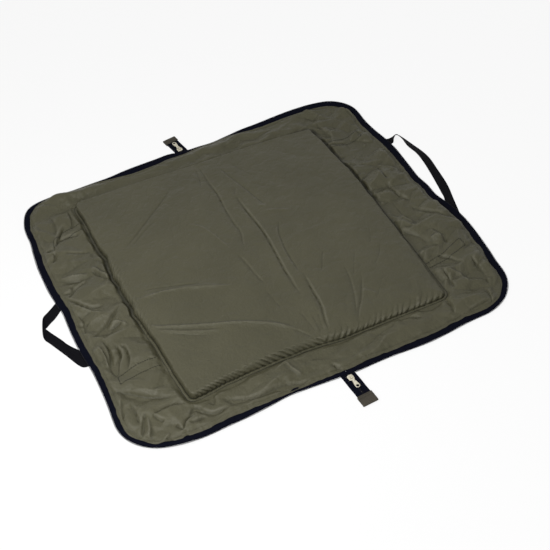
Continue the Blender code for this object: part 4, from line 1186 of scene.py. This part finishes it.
# grid places round the panel, a given distance outside its seam
def roundPanel(outside):
    radius = panel["cornerRadius"] + outside
    reachX, reachY = mat["padX"] + outside - radius, mat["padY"] + outside - radius
    made = []
    for k, (cx, cy) in enumerate(((-1, -1), (1, -1), (1, 1), (-1, 1))):
        for turn in np.radians(90 * (k - 2) + 90 * np.arange(9) / 8):
            made.append((cx * reachX + radius * math.cos(turn), cy * reachY + radius * math.sin(turn)))
    return evenSteps(made + made[:1], 0.002).T


# grid places round the hem
def roundHem(inset):
    x, y = coverEdgeX - inset, coverEdgeY - inset
    return evenSteps([(-x, -y), (x, -y), (x, y), (-x, y), (-x, -y)], 0.002).T


sewRow("panel_stitches", *roundPanel(0.0002), darkThread)
sewRow("panel_outer_stitches", *roundPanel(panel["secondRow"]), darkThread)
sewRow("hem_stitches", *roundHem(0.0062), oliveThread, thread["hemScale"])
print("cover stitches made")

# where the handle webbing is sewn on: two rows of x and y in turn, mm, from the seam out to the rim
patches = {
    "left_near": ((-252, -158, -290, -157.5, -325, -165), (-251, -176.5, -290, -177, -326, -185)),
    "right_near": ((250, -188, 290, -181.5, 330, -166.5), (250, -200, 290, -196, 332, -184)),
    "left_far": ((-254, 244, -290, 236, -318, 220), (-255, 225, -290, 217, -322, 201)),
    "right_far": ((254, 212, 290, 211, 326, 216), (254, 193, 290, 192, 328, 197)),
}
for label, rows in patches.items():
    first, second = (mm * np.array(row).reshape(-1, 2) for row in rows)
    runs = throughPoints(first, 12), throughPoints(second, 12), evenSteps((first[-1], second[-1]), 0.001)
    sewn = [stitchPlaces(*gridPlaces(*run.T), thread["pitch"] * thread["patchPitch"]) for run in runs]
    places = (np.concatenate(part) for part in zip(*sewn))
    piece = stitchMesh("patch_stitches_" + label, *places, darkThread, thread["patchScale"])
    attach(piece, label.split("_")[0] + "_half")
print("patch stitches made")

# the outer face underneath: flat under the pads, raised at the border over the webbing
base = {
    "thickness": 0.0008,
    "stepRun": 0.012,
    "lineStep": 0.0046,
    "seamStep": 0.0025,
    "edgeStep": 0.0015,
    "seamBand": 0.040,          # how far the closer lines go beyond a seam
    "hemRun": 0.012,
    "lowestFold": -0.0002,
    # the height difference that gives full painted shade underneath
    "fullShading": 0.0005,
}
baseLines = [mirrored(closeLines((0.0, base["lineStep"]), (seam, base["seamStep"]),
                                 (seam + base["seamBand"], base["lineStep"]), (hem, base["edgeStep"]),
                                 (edge, 0)))
             for seam, hem, edge in ((0.230, 0.346, coverEdgeX), (0.256, 0.331, coverEdgeY))]
baseX, baseY = np.meshgrid(*baseLines)
planX, planY = roundCorners(baseX, baseY, mat["rimInset"])
raisedShare = smooth(-insidePanel(baseX, baseY) / base["stepRun"])
slack = np.maximum(facetFolds("base", planX, planY) + rippled("base", planX, planY), base["lowestFold"])
slack = slack * smooth((-rimDistance(planX, planY) - mat["rimInset"]) / base["hemRun"])
baseLow = (mat["baseLow"] + slack) * raisedShare
# painted shading of the underside: painted shade where the cloth lies higher than around it, painted
# highlight where it lies lower
baseShading = np.clip((baseLow - neighbourMean(baseLow)) / base["fullShading"], -0.5, 0.5)
top, low = (layDown(np.stack([planX, planY, baseLow + lift], -1)) for lift in (base["thickness"], 0))
baseCloths = makeHalves("base_cloth", top, low, baseX, baseY, baseShading, baseNylon, "base_sheet")
print("base made")

# a soft foam sheet in each half, rounded over at its edges
foamPad = {
    "step": 0.0060,
    "edgeStep": 0.0012,
    "round": 0.0100,
    "inner": 0.024,             # the edges, from the middle of the mat
    "outerX": 0.237,
    "outerY": 0.260,
    "evenX": (0.029, 0.227),    # between these its lines are further apart
    "evenY": 0.252,
    "cornerRun": 0.008,
    "least": 0.0006,            # of thickness over its middle
    "corner": 0.045,            # how far the inner corners are drawn in, as a share
    "low": 0.0011,
    "clear": 0.0050,            # under the panel's plain top, and under the creased cover
    "under": 0.0020,
    "edgeShare": 0.35,          # of the thickness, at the very edge
}
for half, sign in halves.items():
    widths = closeLines((foamPad["inner"], foamPad["edgeStep"]), (foamPad["evenX"][0], foamPad["step"]),
                        (foamPad["evenX"][1], foamPad["edgeStep"]), (foamPad["outerX"], 0))
    depths = closeLines((-foamPad["outerY"], foamPad["edgeStep"]), (-foamPad["evenY"], foamPad["step"]),
                        (foamPad["evenY"], foamPad["edgeStep"]), (foamPad["outerY"], 0))
    gx, gy = np.meshgrid(sign * widths, depths)
    edge = np.minimum.reduce([sign * gx - foamPad["inner"], foamPad["outerX"] - sign * gx,
                              foamPad["outerY"] - np.abs(gy)])
    full = np.sqrt(np.clip(1 - (1 - np.clip(edge / foamPad["round"], 0, 1))**2, 0, 1))
    full = foamPad["edgeShare"] + (1 - foamPad["edgeShare"]) * full
    gy = gy * (1 - foamPad["corner"] * np.exp(-(sign * gx - foamPad["inner"]) / foamPad["cornerRun"]))
    above = np.pad(onCover(gx.ravel(), gy.ravel())[0][:, 2].reshape(gx.shape), 1, mode="edge")
    rows, columns = gx.shape
    lowest = np.minimum.reduce([above[a:a + rows, b:b + columns] for a in range(3) for b in range(3)])
    plain = panelTop(gx, gy) - foamPad["clear"]
    middle = (plain + foamPad["low"]) / 2
    high = np.maximum(np.minimum(plain, lowest - foamPad["under"]), middle + foamPad["least"])
    px, py = coverPlan(gx, gy)
    top = np.stack([px, py, middle + (high - middle) * full + rippled("foam", gx, gy)], -1)
    low = np.stack([px, py, middle - (middle - foamPad["low"]) * full], -1)
    piece = makeShell("foam_sheet_" + half, top, low, whiteFoam, gridOf(gx, gy), 50)
    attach(piece, half + "_half")
    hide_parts("foam_pad_" + half)
print("foam made")

# the zip tape round the rim of each half, from the near tail to the far one
zipper = {
    "nearSplit": 0.0110,
    "farSplit": -0.0030,
    "splitGap": 0.0002,
    "tapeStep": 0.0030,
    "teethStep": 0.0020,
    "teethMiddle": 0.0010,      # inside the rim
    "pitch": 0.0021,
    "perTurn": 8,
    "wire": 0.00042,
    "ripple": 0.00035,          # of the tape's inner part
    "rippleRun": 0.011,
    "rippleStart": 0.016,       # inside the rim it starts here and is full this much further out
    "rippleFade": 0.010,
    # lines along the tape: distance inside the rim and extra thickness
    "tapeLines": ((0.0021, 0.0003), (0.0045, 0), (0.0075, 0.00012), (0.0105, 0), (0.0140, 0), (0.0200, 0)),
}


def rimPath(sign, step):
    radius = mat["corner"]
    cx, cy = sign * (mat["halfWidth"] - radius), mat["halfDepth"] - radius
    places = [(zipper["nearSplit"] + sign * zipper["splitGap"], -mat["halfDepth"], 0)]
    for end in (-1, 1):
        for turn in np.radians(np.linspace(min(90 * end, 0), max(90 * end, 0), 33)):
            places.append((cx + sign * radius * math.cos(turn), end * cy + radius * math.sin(turn), 0))
    places.append((zipper["farSplit"] + sign * zipper["splitGap"], mat["halfDepth"], 0))
    path = evenSteps(places, step)
    return path, sign * np.cross((0, 0, 1), unit(np.gradient(path, axis=0)))


for half, sign in halves.items():
    path, inward = rimPath(sign, zipper["tapeStep"])
    lengths = pathLengths(path)
    inset, extra = np.array(zipper["tapeLines"]).T[..., None]
    wave = zipper["ripple"] * np.sin(lengths / zipper["rippleRun"] + 2 * lineNoise(lengths, 0.05, 51))
    wave = np.maximum(wave * smooth((zipper["rippleStart"] - inset) / zipper["rippleFade"]), -0.0001)
    x, y, _ = np.moveaxis(path + inward * inset[..., None], -1, 0)
    top, low = (layDown(np.stack([x, y, height + wave], -1))
                for height in (mat["tapeHigh"] + extra, mat["tapeLow"]))
    piece = makeShell("rim_tape_" + half, top, low, zipTapeCloth, gridOf(lengths[None, :], inset))
    bendWithHalf(piece)
    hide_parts("zip_tape_" + half, "rim_tape_near_" + half, "rim_tape_far_" + half)


# points of an oval outline
def oval(count, wide, high):
    return [(wide * math.cos(a), high * math.sin(a)) for a in 2 * math.pi * np.arange(count) / count]


# a coil wound along a path: the zip's teeth
def coilAlong(path, across, pitch, size, wire, perTurn, flatten=0.8, lead=0.0):
    lengths = pathLengths(path)
    places = np.linspace(0, lengths[-1], int(lengths[-1] / pitch) * perTurn + 1)
    middle, side = readAlong(places, lengths, path), readAlong(places, lengths, across)
    angle = 2 * np.pi * places[:, None] / pitch + lead
    up = np.array([0.0, 0.0, 1.0])
    reach = size / 2 - wire
    centres = middle + side * np.cos(angle) * reach + up * np.sin(angle) * reach * flatten
    direction = unit(np.gradient(centres, axis=0))
    out = side * np.cos(angle) + up * np.sin(angle)
    out = unit(out - direction * (out * direction).sum(1)[:, None])
    return sweepAlong(centres, out, np.cross(direction, out), oval(4, wire, wire))


for half, sign in halves.items():
    path, inward = rimPath(sign, zipper["teethStep"])
    middle = path + inward * zipper["teethMiddle"]
    middle[:, 2] = mat["teethHeight"]
    points, faces, uv = coilAlong(layDown(middle), inward, zipper["pitch"], mat["teethAcross"],
                                  zipper["wire"], zipper["perTurn"])
    piece = makePiece("coil_teeth_" + half, points, faces, zipPlastic, uv, 80)
    bendWithHalf(piece)
    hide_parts("zip_coil_" + half)
print("zip round the rim made")

# one strap a side: sewn under the border, out past the rim, and round through the loop
straps = {
    "width": 0.020,
    "thick": 0.0014,
    "gripReach": 0.040,
    "gripRise": 0.013,
    "hinge": 0.004,             # a run each side of its line, from which two end points are worked out below
    "least": 0.0002,            # height of its upper face
    # lines along the strap: shares of its width and of its thickness
    "profile": ((-0.5, 0.15), (-0.46, 0.85), (-0.4, 1), (-0.2, 0.86), (0, 0.92), (0.2, 0.86), (0.4, 1),
                (0.46, 0.85), (0.5, 0.15)),
    # the sewn ends run through places given as x and y, mm; each row of the grip has the strap's two
    # edges: how far out, along and up, as shares of the reach, half the depth and the rise
    "left": {
        "near": (-250.5, -168, -290, -169, -318, -165, -330, -140, -345, -108),
        "far": (-345, 72, -331, 130, -322, 190, -300, 218, -254, 230),
        "grip": ((0, 0.171, 0, 0, 0.093, 0), (0.31, 0.144, 0, 0.38, 0.061, 0),
                 (0.55, 0.121, 0.1, 0.61, 0.04, 0.02), (0.69, 0.074, 0.56, 0.67, 0.035, 0.06),
                 (0.89, -0.009, 0.64, 0.68, 0.031, 0.08), (0.92, -0.043, 0.25, 0.64, 0.023, 0.04),
                 (0.76, -0.079, 0, 0.51, -0.012, 0), (0.39, -0.187, 0, 0.26, -0.077, 0),
                 (0, -0.3, 0, 0, -0.147, 0)),
    },
    "right": {
        "near": (250.5, -193, 290, -190, 322, -179, 338, -150, 350, -112),
        "far": (350, 172, 344, 188, 330, 200, 300, 203, 254, 203),
        "grip": ((0, 0.483, 0, 0, 0.429, 0), (0.26, 0.48, 0.04, 0.18, 0.437, 0.79),
                 (0.55, 0.487, 0.04, 0.38, 0.449, 0.98), (0.7, 0.446, 0.04, 0.46, 0.4, 0.95),
                 (0.85, 0.357, 0.04, 0.44, 0.337, 0.72), (0.98, 0.273, 0.04, 0.55, 0.254, 0.56),
                 (1.01, 0.2, 0.02, 0.53, 0.177, 0.37), (0.9, 0.103, 0.01, 0.43, 0.083, 0.14),
                 (0.71, -0.04, 0, 0.25, -0.033, 0), (0.42, -0.16, 0, 0.15, -0.086, 0),
                 (0, -0.317, 0, 0, -0.149, 0)),
    },
}


# the strap's two edges from its far end to its near one, as pairs of points
def strapEdges(half):
    plan, sign, level = straps[half], halves[half], straps["thick"] / 2
    spans = sign * straps["gripReach"], mat["halfDepth"], straps["gripRise"]
    grip = np.array(plan["grip"]).reshape(-1, 2, 3) * spans + (sign * mat["handleLine"], 0, level)

    def sewn(end, last, beside):
        places = mm * np.array(plan[end], float).reshape(-1, 2)[::-1]
        run = throughPoints(np.column_stack([places, np.full(len(places), level)]), 6)
        across = pathFrame(run)[0] * straps["width"] / 2
        pairs = np.stack([run + across, run - across], 1)
        first, second = np.linalg.norm(pairs[last] - beside[0], axis=1)
        return (pairs[:, ::-1] if first > second else pairs)[::3]

    return throughPoints(np.concatenate([sewn("far", -1, grip[0]), grip, sewn("near", 0, grip[-1])]), 6)


for half, sign in halves.items():
    edges = strapEdges(half)
    middle, across = edges.mean(1), edges[:, 1] - edges[:, 0]
    ups = unit(np.cross(np.gradient(middle, axis=0), across))
    ups = np.where(ups[:, 2:] < 0, -ups, ups)
    share, high = np.array(straps["profile"]).T[..., None, None]
    top, low = (middle + across * share + ups * (side * high * straps["thick"] / 2) for side in (1, -1))
    top[..., 2] = np.maximum(top[..., 2], straps["least"])
    low[..., 2] = np.maximum(low[..., 2], 0.0)
    piece = makeShell("carry_strap_" + half, top, low, blackWebbing,
                      gridOf(pathLengths(middle)[None, :], share[..., 0] * straps["width"]))
    start, end = ((sign * (mat["handleLine"] + run), 0, 0) for run in (-straps["hinge"], straps["hinge"]))
    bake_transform(piece)
    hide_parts("handle_" + half, "handle_end_" + half + "_near", "handle_end_" + half + "_far")
print("carrying straps made")

# the zip tails; local y runs away from the mat
tails = {
    "near": {"end": -1, "rootX": 0.0110, "rootY": -0.3488, "turn": 183.5, "length": 0.0700, "tab": 0.0215},
    "far": {"end": 1, "rootX": -0.0030, "rootY": 0.3521, "turn": 8.0, "length": 0.0540, "tab": 0.0165},
    "lines": (0.0002, 0.0030, 0.0052, 0.0080, 0.0104, 0.0121, 0.0125),      # across each tape
    "cordLine": 0.0121,         # the tape's thicker outer edge
    "cordWidth": 0.0005,
    "cordHigh": 0.00025,
    "wave": 0.00025,
    "waveRun": 0.006,
    "waveFrom": 0.004,
    "tuckDown": 0.0003,         # under the rim
    "tuckRun": 0.002,
    "tuck": 0.0090,             # how far the tail starts in under the rim
    "bendRun": 0.003,
    "step": 0.0016,
    "teethLine": 0.001178,
    "teethRise": 0.0003,
    "teethStep": 0.002,
    "teeth": {"pitch": 0.0017, "size": 0.0030, "wire": 0.0004, "perTurn": 9, "flatten": 0.45},
}

# the folded ribbon over the end of each tail
ribbonTab = {
    "half": 0.0135,
    "thick": 0.0009,
    "fray": 0.00012,
    "frayRun": 0.0011,
    "stitchScale": 0.72,
    "rows": (0.0022, 0.0062),   # of stitches, from its edge
    "spacing": 0.0026,
    # lines along the ribbon: share of its half width, and of its thickness
    "profile": ((-1, 0.35), (-0.97, 0.8), (-0.9, 1), (-0.6, 1), (-0.3, 1), (0, 1), (0.3, 1), (0.6, 1),
                (0.9, 1), (0.97, 0.8), (1, 0.35)),
}


def tailPlace(label, points):
    tail, points = tails[label], np.asarray(points, float)
    x, y = turned(points[..., 0], points[..., 1], -tail["turn"])
    return np.stack([tail["rootX"] + x, tail["rootY"] + y, points[..., 2]], -1)


def bendWithTail(piece):
    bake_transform(piece)


# the ribbon's line over the tail's end and back, at a distance from the teeth's middle
def foldedLine(start, last, radius):
    turn = math.pi * (0.5 - np.arange(1, 12) / 12)
    run = np.linspace(start, last, 12)
    there = np.concatenate([run, last + radius * np.cos(turn), run[::-1]])
    high = np.concatenate([np.full(12, radius), radius * np.sin(turn), np.full(12, -radius)])
    return np.stack([there, mat["teethHeight"] + high], -1)


for label in ("near", "far"):
    tail = tails[label]
    for half, sign in halves.items():
        side = sign * tail["end"]
        gx, gy = np.meshgrid(side * np.array(tails["lines"]),
                             np.arange(-tails["tuck"], tail["length"] - 0.0012, tails["step"]))
        fade = smooth((np.abs(gx) - tails["waveFrom"]) / tails["waveFrom"])
        wave = tails["wave"] * np.sin(gy / tails["waveRun"] + side) * fade
        wave = wave - tails["tuckDown"] * smooth(1 - gy / tails["tuckRun"])
        cord = tails["cordHigh"] * np.exp(-((np.abs(gx) - tails["cordLine"]) / tails["cordWidth"])**2)
        top, low = (tailPlace(label, np.stack([gx, gy, height + wave], -1))
                    for height in (mat["tapeHigh"] + cord, mat["tapeLow"]))
        piece = makeShell(f"tail_cloth_{label}_{half}", top, low, zipTapeCloth, gridOf(gy, gx))
        bendWithTail(piece)
        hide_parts(f"tail_tape_{label}_{half}")
        run = np.arange(-0.001, tail["length"] - 0.002, tails["teethStep"])
        line = gridOf(side * tails["teethLine"], run)
        line = np.column_stack([line, np.full(len(run), mat["teethHeight"] + tails["teethRise"])])
        place = tailPlace(label, line)
        sideways = tailPlace(label, line + (side, 0, 0)) - place
        points, faces, uv = coilAlong(place, sideways, lead=math.pi * (side > 0), **tails["teeth"])
        piece = makePiece(f"tail_teeth_{label}_{half}", points, faces, zipPlastic, uv, 80)
        bendWithTail(piece)
        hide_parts(f"tail_coil_{label}_{half}")

    start, bend = tail["length"] - tail["tab"], mat["teethRoom"] + ribbonTab["thick"]
    outer, inner = (foldedLine(start, tail["length"] - bend, radius) for radius in (bend, mat["teethRoom"]))
    share, full = np.array(ribbonTab["profile"]).T
    fray = ribbonTab["fray"] * np.sin(outer[:, :1] / ribbonTab["frayRun"] + 3 * share)
    fray = fray * (np.abs(share) > 0.95)
    middle, away = (outer + inner)[:, None] / 2, (outer - inner)[:, None] / 2 * full[:, None]
    top, low = (np.dstack([ribbonTab["half"] * share + fray, middle + face * away]) for face in (1, -1))
    piece = makeShell("ribbon_tab_" + label, tailPlace(label, top), tailPlace(label, low), endRibbon,
                      gridOf(pathLengths(outer)[:, None], ribbonTab["half"] * share))
    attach(piece, label + "_tail")
    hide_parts("end_tab_" + label)
    # two rows of thread across the tab
    for row, inset in enumerate(ribbonTab["rows"]):
        across = np.arange(0.002 - ribbonTab["half"], ribbonTab["half"] - 0.001, ribbonTab["spacing"])
        spots = np.zeros((len(across), 3)) + (0, start + inset, mat["teethHeight"] + bend)
        spots[:, 0] = across
        centres = tailPlace(label, spots)
        along, ups = tailPlace(label, spots + (1, 0, 0)) - centres, np.zeros_like(spots) + (0, 0, 1)
        stitches = stitchMesh(f"tab_stitches_{label}_{row + 1}", centres, along, ups, darkThread,
                              ribbonTab["stitchScale"], "tab_ribbon")
        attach(stitches, label + "_tail")
print("zip tails and tabs made")


# rings of a plate with eased edges, from its outline in plan
def easedPlate(outline, low, high, ease):
    along = np.roll(outline, -1, axis=0) - np.roll(outline, 1, axis=0)
    inward = unit(np.stack([-along[:, 1], along[:, 0]], -1))
    turn = np.pi / 2 * np.arange(4) / 3
    insets, rises = ease * (1 - np.sin(turn)), ease * (1 - np.cos(turn))
    levels = list(zip(insets, low + rises)) + list(zip(insets, high - rises))[::-1]
    return np.array([np.column_stack([outline + inward * inset, np.full(len(outline), z)])
                     for inset, z in levels])


def platePiece(outline, low, high, ease):
    rings = easedPlate(np.asarray(outline, float), low, high, ease)
    index = np.arange(rings.size // 3).reshape(rings.shape[:2])
    faces = [quad for k in range(len(index) - 1) for quad in joinRings(index[k], index[k + 1])]
    return rings.reshape(-1, 3), faces + [index[0, ::-1].tolist(), index[-1].tolist()]


# a plate with a hole through it; both outlines have as many points
def plateWithHole(outer, hole, low, high, ease):
    rings = np.array([easedPlate(outer, low, high, ease), easedPlate(hole[::-1], low, high, ease)[:, ::-1]])
    body, bore = np.arange(rings.size // 3).reshape(rings.shape[:3])
    faces = joinRings(body[-1], bore[-1]) + joinRings(bore[0], body[0])
    for k in range(len(body) - 1):
        faces += joinRings(body[k], body[k + 1]) + joinRings(bore[k + 1], bore[k])
    return rings.reshape(-1, 3), faces


def joinParts(parts):
    points, faces = [], []
    for partPoints, partFaces in parts:
        faces += [[v + len(points) for v in face] for face in partFaces]
        points += partPoints.tolist()
    return np.array(points), faces


# a value from -1 to 1, pushed outwards by a power below one
def bulge(value, power):
    return np.sign(value) * np.abs(value)**power


# the slider's body lies from start on along its tail
slider = {
    "start": 0.0012,
    "length": 0.0125,
    "half": 0.0053,
    "plate": 0.0010,
    "ease": 0.0004,
    "waist": 0.14,
    "roundness": 0.62,
    "lipHalf": 0.0005,
    "lipIn": 0.0007,
    "lipSunk": 0.0003,
    "lipRun": (0.0016, 0.0113),
    "postSunk": 0.0002,
    "post": ((-0.5, 0.4), (0.5, 0.4), (0.5, 2.6), (0.2, 3.4), (-0.2, 3.4), (-0.5, 2.6)),      # mm
    "crown": 0.0022,
    "crownLength": 0.0066,
    "crownOpening": 0.0020,
    "crownThick": 0.00055,      # half of it
    "crownFoot": 0.0004,        # how deep it stands in the plate
    "crownSquare": (0.55, 0.6),
}
topLow, underHigh = mat["teethHeight"] + mat["teethRoom"], mat["teethHeight"] - mat["teethRoom"]
topHigh, underLow = topLow + slider["plate"], underHigh - slider["plate"]


# the body's width at a place from -1 to 1 along it, as a share of the widest
def bodyWaist(place):
    return 1 - slider["waist"] * smooth((place + 0.2) / 1.2)


def sliderBody():
    half, reach, sunk = slider["half"], slider["length"] / 2, slider["lipSunk"]
    turn = 2 * np.pi * np.arange(40) / 40
    along = bulge(np.sin(turn), slider["roundness"])
    across = bulge(np.cos(turn), slider["roundness"]) * bodyWaist(along)
    outline = np.stack([across * half, reach + along * reach], -1)
    parts = [platePiece(outline, low, low + slider["plate"], slider["ease"]) for low in (topLow, underLow)]
    # side lips that close towards the tape
    y = np.linspace(*slider["lipRun"], 10)
    for side in (-1, 1):
        x = side * (half * bodyWaist(y / reach - 1) - slider["lipIn"])
        for low, high in ((mat["tapeHigh"] + sunk, topLow + sunk),
                          (underHigh - sunk, mat["tapeLow"] - sunk)):
            centres = np.column_stack([x, y, np.full(len(y), (low + high) / 2)])
            lip = oval(10, slider["lipHalf"], (high - low) / 2)
            parts.append(sweepAlong(centres, *pathFrame(centres), lip)[:2])
    # the post between the two plates
    low, high = underHigh - slider["postSunk"], topLow + slider["postSunk"]
    parts.append(platePiece(mm * np.array(slider["post"]), low, high, 0.0001))
    # the arched bridge that holds the pull
    turn = np.pi * np.arange(21) / 20
    span, rise = slider["crownLength"] / 2 - 0.0005, slider["crownOpening"] + 0.0005 + slider["crownFoot"]
    square, squareUp = slider["crownSquare"]
    arch = np.column_stack([np.zeros(21), reach - bulge(np.cos(turn), square) * span,
                            topHigh - slider["crownFoot"] + np.abs(np.sin(turn))**squareUp * rise])
    sideways = np.tile([1.0, 0.0, 0.0], (len(arch), 1))
    ups = np.cross(sideways, unit(np.gradient(arch, axis=0)))
    ribbon = bulge(np.array(oval(16, 1, 1)), 0.7) * (slider["crown"] / 2, slider["crownThick"])
    parts.append(sweepAlong(arch, sideways, ups, ribbon)[:2])
    points, faces = joinParts(parts)
    return points + (0, slider["start"], 0), faces


# a flat bar with a round end, an eye for a cord and a slot for the bridge
pull = {
    "length": 0.0262,
    "thick": 0.0012,
    "ease": 0.00025,
    "neckEase": 0.00022,
    "from": -0.0006,
    "neck": 0.0029,             # half widths
    "side": 0.0027,
    "end": 0.0040,
    "eye": 0.0027,
    "split": 0.0085,            # between the neck's ring and the head's
    "slotMiddle": 0.0026,
    "slotHalf": (0.0017, 0.0021),
    "rib": (0.0007, 0.00028),
    "ribFrom": 0.0075,
    "headFrom": 0.0060,         # where the bar starts to widen towards its round end
    "neckRun": (0.0052, 0.0026),
    "points": 48,
}


# the furthest points of a shape round a place on the pull's middle line
def ringAround(middle, distances, holds):
    ways = np.array(oval(pull["points"], 1, 1))
    x, y = np.moveaxis(ways[:, None] * distances[:, None], -1, 0)
    far = np.where(holds(x, middle + y), distances, 0).max(1)
    return ways * far[:, None] + (0, middle)


def pullTab():
    roundY = pull["length"] + pull["from"] - pull["end"]
    ways = np.array(oval(pull["points"], 1, 1))
    high = pull["thick"] / 2

    def inHead(x, y):
        share = smooth((y - pull["headFrom"]) / (roundY - pull["split"]))
        limit = pull["side"] + (pull["end"] - pull["side"]) * share**2
        inBar = (y >= pull["split"]) & (y <= roundY) & (np.abs(x) <= limit)
        return inBar | (np.hypot(x, y - roundY) <= pull["end"])

    def inNeck(x, y):
        share = smooth((y - pull["neckRun"][0]) / pull["neckRun"][1])
        limit = pull["neck"] + (pull["side"] - pull["neck"]) * share
        return (y >= pull["from"]) & (y <= pull["split"] + 0.0002) & (np.abs(x) <= limit)

    head = ringAround(roundY, np.linspace(0.001, 0.016, 301), inHead)
    neck = ringAround(pull["slotMiddle"], np.linspace(0.0005, 0.010, 301), inNeck)
    slot = bulge(ways, 0.5) * pull["slotHalf"] + (0, pull["slotMiddle"])
    # a raised rib down the face
    rib = np.array([(0.0, y, high + 0.00005) for y in np.linspace(pull["ribFrom"], roundY - 0.0035, 12)])
    points, faces = joinParts([
        plateWithHole(head, ways * pull["eye"] + (0, roundY), -high, high, pull["ease"]),
        plateWithHole(neck, slot, -high, high, pull["neckEase"]),
        sweepAlong(rib, *pathFrame(rib), oval(10, *pull["rib"]))[:2]])
    return points + (0, slider["start"] + slider["length"] / 2, topHigh + slider["crownOpening"] / 2), faces


for label in ("near", "far"):
    for name, node, body, shape in (("zip_slider_", "slider_body_", "_slider", sliderBody),
                                    ("zip_pull_", "pull_tab_", "_pull", pullTab)):
        points, faces = shape()
        piece = makePiece(name + label, tailPlace(label, points), faces, paleMetal, points[:, :2], 45)
        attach(piece, label + body)
        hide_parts(node + label)
print("sliders and pulls made")

# plain studio: pale floor, soft light, the photograph's own view
studio = {
    "worldLight": 0.34,
    "keyPower": 6.3,
    "keySize": 0.7,
    "keyPlace": (-0.52, -0.26, 0.74),
    "fillPower": 9.0,
    "fillSize": 1.2,
    "fillPlace": (-0.35, -1.50, 0.80),
    "lampAim": (-0.1, 0.0, 0.0),
    "floorHalf": 9.0,
    "floorHeight": -0.0002,
    "floorRough": 0.9,
    "floorGlow": 0.88,          # share of its own white that the camera sees
}

world = bpy.data.worlds.new("studio_world")
bpy.context.scene.world = world
world.use_nodes = True
background = world.node_tree.nodes["Background"]
background.inputs["Color"].default_value = (1, 1, 1, 1)
paths = addNode(world.node_tree, "ShaderNodeLightPath").outputs
shown = calc("MAXIMUM", paths["Is Camera Ray"], paths["Is Glossy Ray"])
shown = calc("MAXIMUM", shown, paths["Is Transmission Ray"])
world.node_tree.links.new(spread(shown, 0.0, 1.0, studio["worldLight"], 1.0), background.inputs["Strength"])

floorMaterial = bpy.data.materials.new("pale_floor")
floorMaterial.use_nodes = True
floorTree = floorMaterial.node_tree
floorShader = floorTree.nodes["Principled BSDF"]
floorShader.inputs["Base Color"].default_value = tone("floor")
floorShader.inputs["Roughness"].default_value = studio["floorRough"]
glow = addNode(floorTree, "ShaderNodeEmission", {"Color": (1, 1, 1, 1), "Strength": 1.0})
paths = addNode(floorTree, "ShaderNodeLightPath").outputs
seen = calc("MAXIMUM", paths["Is Camera Ray"], paths["Is Glossy Ray"])
share = calc("MULTIPLY", seen, studio["floorGlow"])
mixed = addNode(floorTree, "ShaderNodeMixShader", {0: share, 1: floorShader.outputs[0], 2: glow.outputs[0]})
floorTree.links.new(mixed.outputs[0], floorTree.nodes["Material Output"].inputs["Surface"])
floorMesh = bpy.data.meshes.new("studio_floor")
corners = [(x * studio["floorHalf"], y * studio["floorHalf"], studio["floorHeight"])
           for x, y in ((-1, -1), (1, -1), (1, 1), (-1, 1))]
floorMesh.from_pydata(corners, [], [(0, 1, 2, 3)])
floorMesh.materials.append(floorMaterial)
floorPiece = bpy.data.objects.new("studio_floor", floorMesh)
bpy.context.scene.collection.objects.link(floorPiece)

for label in ("key", "fill"):
    lampData = bpy.data.lights.new(label + "_box", "AREA")
    lampData.shape = "SQUARE"
    lampData.size = studio[label + "Size"]
    lampData.energy = studio[label + "Power"]
    lamp = bpy.data.objects.new(label + "_box", lampData)
    lamp.location = studio[label + "Place"]
    aim = Vector(studio["lampAim"]) - Vector(studio[label + "Place"])
    lamp.rotation_euler = aim.to_track_quat("-Z", "Y").to_euler()
    bpy.context.scene.collection.objects.link(lamp)

# the camera stands left of the mat and in front of it, tipped a little
view = {
    "azimuth": -0.3456,
    "elevation": 0.7584,
    "roll": -0.1342,
    "distance": 2.0977,
    "target": (0.0088, -0.0707),
    "focalPixels": 1175.5,
    "pixels": 550,
    "film": 36.0,
}
sa, ca = math.sin(view["azimuth"]), math.cos(view["azimuth"])
se, ce = math.sin(view["elevation"]), math.cos(view["elevation"])
back = Vector((sa * ce, -ca * ce, se))
right = Vector((ca, sa, 0))
up = back.cross(right)
cr, sr = math.cos(view["roll"]), math.sin(view["roll"])
tiltedRight = cr * right + sr * up
tiltedUp = -sr * right + cr * up
place = Vector((view["target"][0], view["target"][1], 0)) + back * view["distance"]
cameraData = bpy.data.cameras.new("photo_camera")
cameraData.sensor_width = view["film"]
cameraData.lens = view["film"] * view["focalPixels"] / view["pixels"]
camera = bpy.data.objects.new("photo_camera", cameraData)
turn = [[tiltedRight[k], tiltedUp[k], back[k], place[k]] for k in range(3)] + [[0, 0, 0, 1]]
camera.matrix_world = Matrix(turn)
bpy.context.scene.collection.objects.link(camera)
bpy.context.scene.camera = camera
bpy.context.scene.view_settings.view_transform = "Standard"
print("studio and camera ready")
